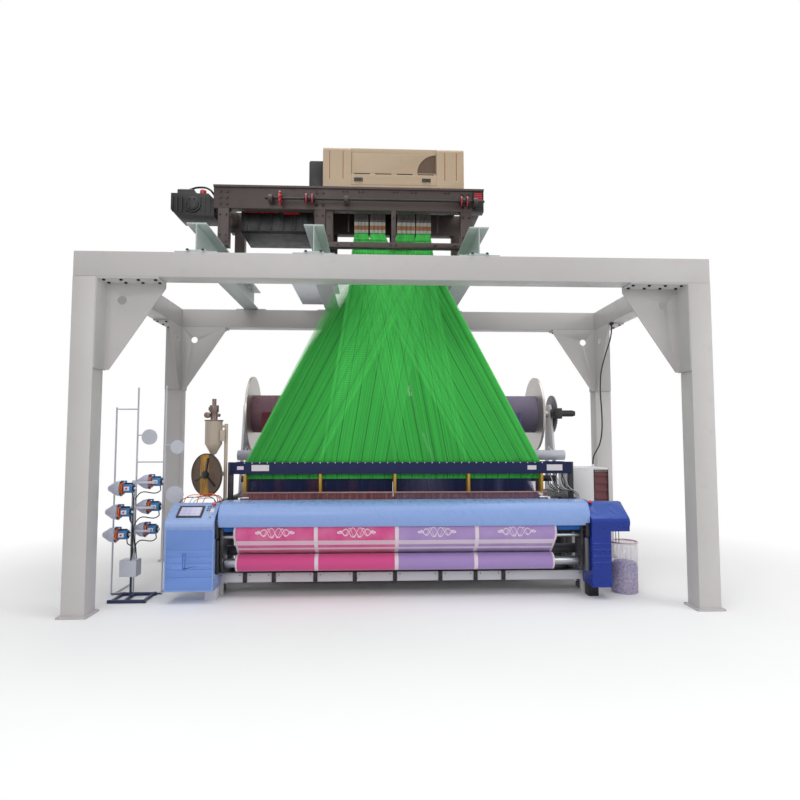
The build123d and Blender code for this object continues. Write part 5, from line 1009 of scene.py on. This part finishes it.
def coupling_rings():
    """The shaft's coupling rings with their bolts."""
    y, z = SHAFT
    profile = ((-0.006, 0.030), (-0.006, 0.056), (0.006, 0.056), (0.006, 0.030))
    ring_bolt_r, flange_bolt_r, bolt_r = 0.044, 0.062, 0.008
    bm = bmesh.new()
    for x in (-1.003, -0.937, 0.727, 0.793):
        lathe(bm, profile, (x, y, z), ALONG)
        ring = [(x, y + ring_bolt_r * cos(a), z + ring_bolt_r * sin(a)) for a in turns(6)]
        bolts(bm, ring, bolt_r, 0.016, ALONG, 1)
        bolts(bm, ring, bolt_r, 0.016, (-1, 0, 0), 1)
    ring = [(-1.285, y + flange_bolt_r * cos(a), z + flange_bolt_r * sin(a)) for a in turns(8)]
    bolts(bm, ring, bolt_r, way=ALONG, index=1)
    finished("coupling_rings", bm, ["red", "bolt"], "drive_shaft")


def drive_details():
    """The guard plate at the shaft's right end, and the gearbox's fins, cap, cover, hose and bolts."""
    bm = bmesh.new()
    slab(bm, (0.875, -0.716, 4.290), (0.995, -0.7055, 4.505))
    slab(bm, (0.890, -0.722, 4.400), (0.980, -0.7155, 4.492), 1)
    for i in range(4):
        slab(bm, (0.890, -0.7235, 4.408 + 0.022 * i), (0.980, -0.7215, 4.414 + 0.022 * i))
    for i in range(9):
        x = -2.52 + 0.052 * i
        slab(bm, (x, -0.671, 4.245), (x + 0.008, -0.6595, 4.420))
    cap = ((0.0, 0.0), (0.0, 0.036), (0.050, 0.036), (0.058, 0.028), (0.058, 0.0))
    lathe(bm, cap, (-2.195, -0.600, 4.4615), UP, 1)
    cover = ((0.0, 0.0), (0.0, 0.078), (0.016, 0.078), (0.022, 0.070), (0.022, 0.0))
    x, z, bolt_ring_r = -2.2935, 4.3325, 0.060
    lathe(bm, cover, (x, -0.681, z), FRONT)
    ring = [(x + bolt_ring_r * cos(a), -0.702, z + bolt_ring_r * sin(a)) for a in turns(6)]
    bolts(bm, ring, 0.009, 0.010, index=2)
    hose = [(-2.06, -0.64, 4.45), (-2.10, -0.66, 4.50), (-2.24, -0.62, 4.545), (-2.36, -0.58, 4.532)]
    pipe(bm, hose, 0.011)
    for i in range(6):
        x = -1.74 + 0.13 * i
        slab(bm, (x, -0.486, 4.10), (x + 0.012, -0.4795, 4.30))
    slab(bm, (-1.30, -0.492, 4.30), (-1.12, -0.4795, 4.36), 1)
    bolts(bm, [(x, -0.480, 4.385) for x in (-1.66, -1.45, -1.22, -1.05)], 0.010, index=2)
    finished("drive_details", bm, ["drive", "red", "bolt"])


# Details of the loom
def rail_details():
    """White pins along the comber rail, bare plates at its ends, and its end bolts."""
    front, pin_z, pins, pins_wide = -0.335, 1.419, 41, 3.47
    bm = bmesh.new()
    for i in range(pins):
        x = -pins_wide / 2 + pins_wide * i / (pins - 1)
        rod(bm, (x, -0.342, pin_z), (x, -0.328, pin_z), 0.0065, 0, 10)
    for x0, x1, z0, z1 in ((-1.655, -1.455, 1.325, 1.395), (-1.820, -1.745, 1.340, 1.380),
                           (1.790, 1.975, 1.325, 1.395), (1.560, 1.665, 1.335, 1.385)):
        slab(bm, (x0, -0.3372, z0), (x1, -0.3348, z1), 1)
    for x in (-1.868, 2.045, 2.010):
        bolts(bm, [(x, front, 1.335), (x, front, 1.385)], 0.009, 0.008, index=2)
    finished("rail_details", bm, ["white_yarn", "bare_plate", "bolt"])


def reed_dents():
    """The reed's fine dents."""
    count, wide, y, bottom, top = 880, 3.432, -0.5135, 0.930, 1.086
    pick = random.Random(5)
    lines, cord_colours = [], []
    for i in range(count):
        x = -wide / 2 + wide * i / (count - 1)
        lines.append([(x, y, bottom), (x, y, top)])
        cord_colours.append(shade(DENT_BROWN, pick.uniform(0.55, 1.35)))
    strands("reed_dents", lines, 0.0012, cord_colours, "sley_unit")


def cabinet_details():
    """The display, the small keys beside it, the door's grip ends, and the covers' screws."""
    bm = bmesh.new()
    slope_slab(bm, -2.165, 0.128, 0.0088, (0.216, 0.136, 0.001))
    finished("display_glass", bm, ["display"])
    bm = bmesh.new()
    for i in range(3):
        for j in range(2):
            slope_slab(bm, -1.998 + 0.022 * j, 0.150 + 0.030 * i, 0.003, (0.013, 0.013, 0.006))
    slope_slab(bm, -1.948, 0.150, 0.001, (0.040, 0.060, 0.002), 1)
    finished("small_keys", bm, ["black", "bare_plate"])
    bm = bmesh.new()
    for x in (-2.376, -1.905):
        for z in (0.16, 0.30, 0.45, 0.60, 0.74):
            rod(bm, (x, -1.0032, z), (x, -0.9995, z), 0.005, 0, 12)
    for x in (-1.84, -1.2, -0.4, 0.4, 1.2, 2.04):
        rod(bm, (x, -0.706, 1.0335), (x, -0.706, 1.0295), 0.007, 0, 12)
    for z in (0.356, 0.520):
        slab(bm, (-2.2115, -1.0058, z), (-2.1655, -1.0038, z + 0.006), 1)
    finished("cover_screws", bm, ["steel", "door"])


def base_details():
    """Panels and their screws on the front base beam, and the levelling bolts of the feet."""
    bm = bmesh.new()
    front = -0.6535
    posts = (-1.95, -1.64, -1.33, -0.88, -0.45, -0.01, 0.49, 0.88, 1.19, 2.10)
    for left, right in zip(posts, posts[1:]):
        slab(bm, (left + 0.035, front, 0.152), (right - 0.035, -0.6495, 0.228))
        bolts(bm, [(left + 0.055, front, 0.216), (right - 0.055, front, 0.216)], 0.006, 0.004, index=1)
    for x in (-1.935, 2.12):
        bolts(bm, [(x, -0.650, 0.045), (x, -0.650, 0.090)], 0.011, 0.010, index=1)
    finished("base_panels", bm, ["white_frame", "bolt"])


def bearing_brackets():
    """The black brackets at both ends of the rollers, their bearing rings, bolts and leads."""
    profile = ((0.0, 0.034), (0.0, 0.058), (0.004, 0.060), (0.004, 0.034))
    bolt_ring_r, lead_r = 0.072, 0.005
    bm = bmesh.new()
    for x0, x1, inner in ((-1.888, -1.856, 1), (2.016, 2.058, -1)):
        slab(bm, (x0, -0.935, 0.290), (x1, -0.600, 0.640))
        slab(bm, (x0, -0.965, 0.655), (x1, -0.600, 0.850))
        rounded(bm, 0.004)
        face = x1 if inner > 0 else x0
        for y, z in (TAKE_UP, ROLL):
            lathe(bm, profile, (face, y, z), (inner, 0, 0), 1)
            ring = [(face, y + bolt_ring_r * cos(a), z + bolt_ring_r * sin(a)) for a in turns(6, pi / 6)]
            bolts(bm, ring, 0.008, 0.008, (inner, 0, 0), 1)
        for z, reach in ((0.560, 0.020), (0.600, 0.012), (0.520, 0.030)):
            pipe(bm, [(face, -0.900, z), (face + inner * (0.012 + reach), -0.905, z - 0.05),
                      (face + inner * (0.010 + reach), -0.900, z - 0.11), (face, -0.895, z - 0.16)],
                 lead_r, 0, 2)
    finished("bearing_brackets", bm, ["black", "dull_steel"])


def leads():
    """The leads above the left cabinet and beside the right end of the harness."""
    bm = bmesh.new()
    arcs = (
        (-2.30, -0.71, -1.95, 0.062, 1), (-2.24, -0.70, -1.93, 0.048, 0), (-2.16, -0.71, -1.97, 0.070, 1),
        (-2.34, -0.72, -2.00, 0.040, 2), (-2.10, -0.70, -1.92, 0.055, 1), (-2.20, -0.72, -1.99, 0.030, 0),
    )
    for x0, y0, x1, rise, index in arcs:
        pipe(bm, [(x0, y0, 1.001), (x0 + 0.03, y0 + 0.02, 1.004 + rise),
                  ((x0 + x1) / 2, -0.64, 1.010 + rise * 1.2),
                  (x1 - 0.02, -0.58, 1.002 + rise), (x1, -0.565, 0.996)], 0.0045, index, 2)
    for i in range(10):
        x = 1.800 + 0.024 * i
        foot_x = 0.004 * i
        sway = 0.030 * sin(i * 2.1)
        pipe(bm, [(x, -0.300, 1.292), (x + sway, -0.330, 1.22), (x + 0.5 * sway + 0.03, -0.350, 1.13),
                  (2.100 + foot_x, -0.400, 1.06), (2.105 + foot_x, -0.430, 0.998)],
             0.0055, (2, 0, 2, 2, 0)[i % 5], 2)
    finished("leads", bm, ["cable_white", "cable_orange", "rubber_black"])


def electric_details():
    """The black frame round the electrical cabinet's slatted bay."""
    bm = bmesh.new()
    x0, x1, z0, z1 = 2.512, 2.698, 0.120, 1.310
    side, end = 0.010, 0.014
    for left, right, low, high in ((x0, x0 + side, z0, z1), (x1 - side, x1, z0, z1),
                                   (x0, x1, z1 - end, z1), (x0, x1, z0, z0 + end)):
        slab(bm, (left, 0.0965, low), (right, 0.1005, high))
    finished("bay_frame", bm, ["black"])


def feeder_details():
    """Yarn on the feeders' drums, their sensors and adjusting knobs, and the leads that join them."""
    wound = ((-0.040, 0.049), (-0.034, 0.053), (-0.006, 0.053), (0.0, 0.049))
    bm = bmesh.new()
    for i, (x, y, z) in enumerate(FEEDER_SPOTS):
        lathe(bm, wound, (x + 0.006, y, z), ALONG, 2 if i % 3 == 0 else 3)
        rod(bm, (x + 0.130, y, z), (x + 0.142, y, z), 0.030, 0, 24)
        rod(bm, (x + 0.142, y, z), (x + 0.156, y, z), 0.014, 1, 16)
        slab(bm, (x + 0.050, y - 0.052, z - 0.020), (x + 0.105, y - 0.044, z + 0.022), 1)
        rod(bm, (x + 0.078, y - 0.052, z), (x + 0.078, y - 0.060, z), 0.009, 4, 12)
        slab(bm, (x + 0.045, y - 0.014, z + 0.044), (x + 0.120, y + 0.014, z + 0.060))
        near = -0.790 if y < -0.7 else -0.650
        pipe(bm, [(x + 0.120, y, z - 0.046), (x + 0.124, (y + near) / 2, z - 0.10),
                  (-2.800, near, z - 0.13), (-2.808, near, 0.413)], 0.006, 0, 2)
    finished("feeder_details", bm, ["black", "bare_plate", "yellow_yarn", "white_yarn", "red"])


# Warp
FELL_TO_ROLL = (
    (-0.543, 1.016), (-0.215, 1.048), (-0.105, 1.050), (0.440, 1.428), (0.455, 1.442), (0.4605, 1.4515),
)
ROLL_TO_BEAM = ((0.4605, 1.4515), (0.4655, 1.4605), (0.4695, 1.4815), (0.4985, 2.043))
YARNS_PER_BAY = 260
YARN_R = 0.0010
GROUND_TOP = 1.5


def pile_yarns(name, path, pick):
    """One length of the pile yarns, from a held end to the end at the roll."""
    lines, cord_colours = [], []
    for bay in range(BAYS):
        left = (bay - 2) * BAY_PITCH + BAY_EDGE
        for i in range(YARNS_PER_BAY):
            x = left + (BAY_PITCH - 2 * BAY_EDGE) * (i + 0.5) / YARNS_PER_BAY
            lines.append([(x, y, z) for y, z in path])
            cord_colours.append(shade(MAROON if x < 0 else VIOLET, pick.uniform(0.7, 2.4)))
    yarns = strands(name, lines, YARN_R, cord_colours, body=None)
    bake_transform(yarns)


def dress_warp():
    """The pile yarns on both sides of the roll, and the ground warp below them."""
    pick = random.Random(3)
    pile_yarns("pile_yarns_front", FELL_TO_ROLL, pick)
    pile_yarns("pile_yarns_back", ROLL_TO_BEAM, pick)
    bm = merged("warp_sheet")
    without(bm, lambda heights: max(heights) > GROUND_TOP)
    finished("ground_warp", bm, ["warp"], replaces=("warp_sheet",))


# Floor, light and camera
WHITE = (1.0, 1.0, 1.0, 1.0)


def backdrop_white(strength_of_light):
    """A world that lights softly, and is white to the camera and in gloss and glass."""
    world = bpy.data.worlds.new("studio")
    scene.world = world
    world.use_nodes = True
    tree = world.node_tree
    light = tree.nodes["Background"]
    path, seen, either, any_ray, mixed = (tree.nodes.new("ShaderNode" + kind) for kind in (
        "LightPath", "Background", "Math", "Math", "MixShader"))
    light.inputs["Color"].default_value = seen.inputs["Color"].default_value = WHITE
    light.inputs["Strength"].default_value = strength_of_light
    either.operation = any_ray.operation = "MAXIMUM"
    for output, socket in (
            (path.outputs["Is Camera Ray"], either.inputs[0]),
            (path.outputs["Is Glossy Ray"], either.inputs[1]),
            (either.outputs[0], any_ray.inputs[0]),
            (path.outputs["Is Transmission Ray"], any_ray.inputs[1]),
            (any_ray.outputs[0], mixed.inputs[0]),
            (light.outputs[0], mixed.inputs[1]),
            (seen.outputs[0], mixed.inputs[2]),
            (mixed.outputs[0], tree.nodes["World Output"].inputs["Surface"])):
        tree.links.new(output, socket)


def floor():
    """A wide pale floor, white to the camera further out."""
    bm = bmesh.new()
    bmesh.ops.create_circle(bm, cap_ends=True, radius=7.5, segments=96,
                            matrix=Matrix.Translation((0, -0.5, -0.0005)))
    mesh = bpy.data.meshes.new("studio_floor")
    bm.to_mesh(mesh)
    bm.free()
    f = Finish(0.9)
    f.material.name = "studio_floor"
    f.set("Base Color", f.mix(f.noise(0.6, 3), srgb(246, 246, 247), srgb(250, 250, 250)))
    camera_ray, glossy_ray, glass_ray = (f.node("ShaderNodeLightPath", {}, output) for output in (0, 3, 6))
    eyes = f.math("MAXIMUM", f.math("MAXIMUM", camera_ray, glossy_ray), glass_ray)
    plain = f.node("ShaderNodeEmission", {"Color": WHITE, "Strength": 1.0})
    far_off = f.math("MULTIPLY", eyes, f.span(f.distance(f.axis("X"), f.axis("Y")), 3.6, 6.6))
    blend = f.node("ShaderNodeMixShader", {0: far_off, 1: f.shader.outputs[0], 2: plain})
    f.put(blend, f.nodes["Material Output"].inputs["Surface"])
    mesh.materials.append(f.material)
    placed("studio_floor", mesh, None)


def lamp(name, place, target, energy, size):
    """A large soft area lamp."""
    data = bpy.data.lights.new(name, "AREA")
    data.energy, data.size = energy, size
    obj = placed(name, data, None)
    obj.location = place
    obj.rotation_euler = (Vector(target) - Vector(place)).to_track_quat("-Z", "Y").to_euler()


def camera():
    """The photograph's camera."""
    data = bpy.data.cameras.new("photo_camera")
    data.lens, data.sensor_width, data.clip_end = CAMERA_LENS, 36.0, 200.0
    obj = placed("photo_camera", data, None)
    obj.location = CAMERA_PLACE
    obj.rotation_euler = (radians(90 + CAMERA_PITCH), 0.0, radians(-CAMERA_YAW))
    scene.camera = obj


supply_cable()
harness()
heddles()
front_cloth()
dress_gantry()
for node, finishes, *rest in DRESS:
    dressed(node, finishes.split(), *rest)
hood_details()
frame_bolts()
coupling_rings()
drive_details()
rail_details()
reed_dents()
cabinet_details()
base_details()
electric_details()
bearing_brackets()
leads()
feeder_details()
dress_warp()

scene.view_settings.view_transform = "Standard"
backdrop_white(0.27)
floor()
lamp("front_lamp", (-3.0, -9.0, 6.0), (0, 0, 1.8), 225, 5.0)
lamp("side_lamp", (8.5, -5.5, 4.5), (0, 0, 2.0), 225, 5.0)
lamp("top_lamp", (0.0, -2.0, 13.0), (0, -1.0, 0.0), 1250, 14.0)
camera()
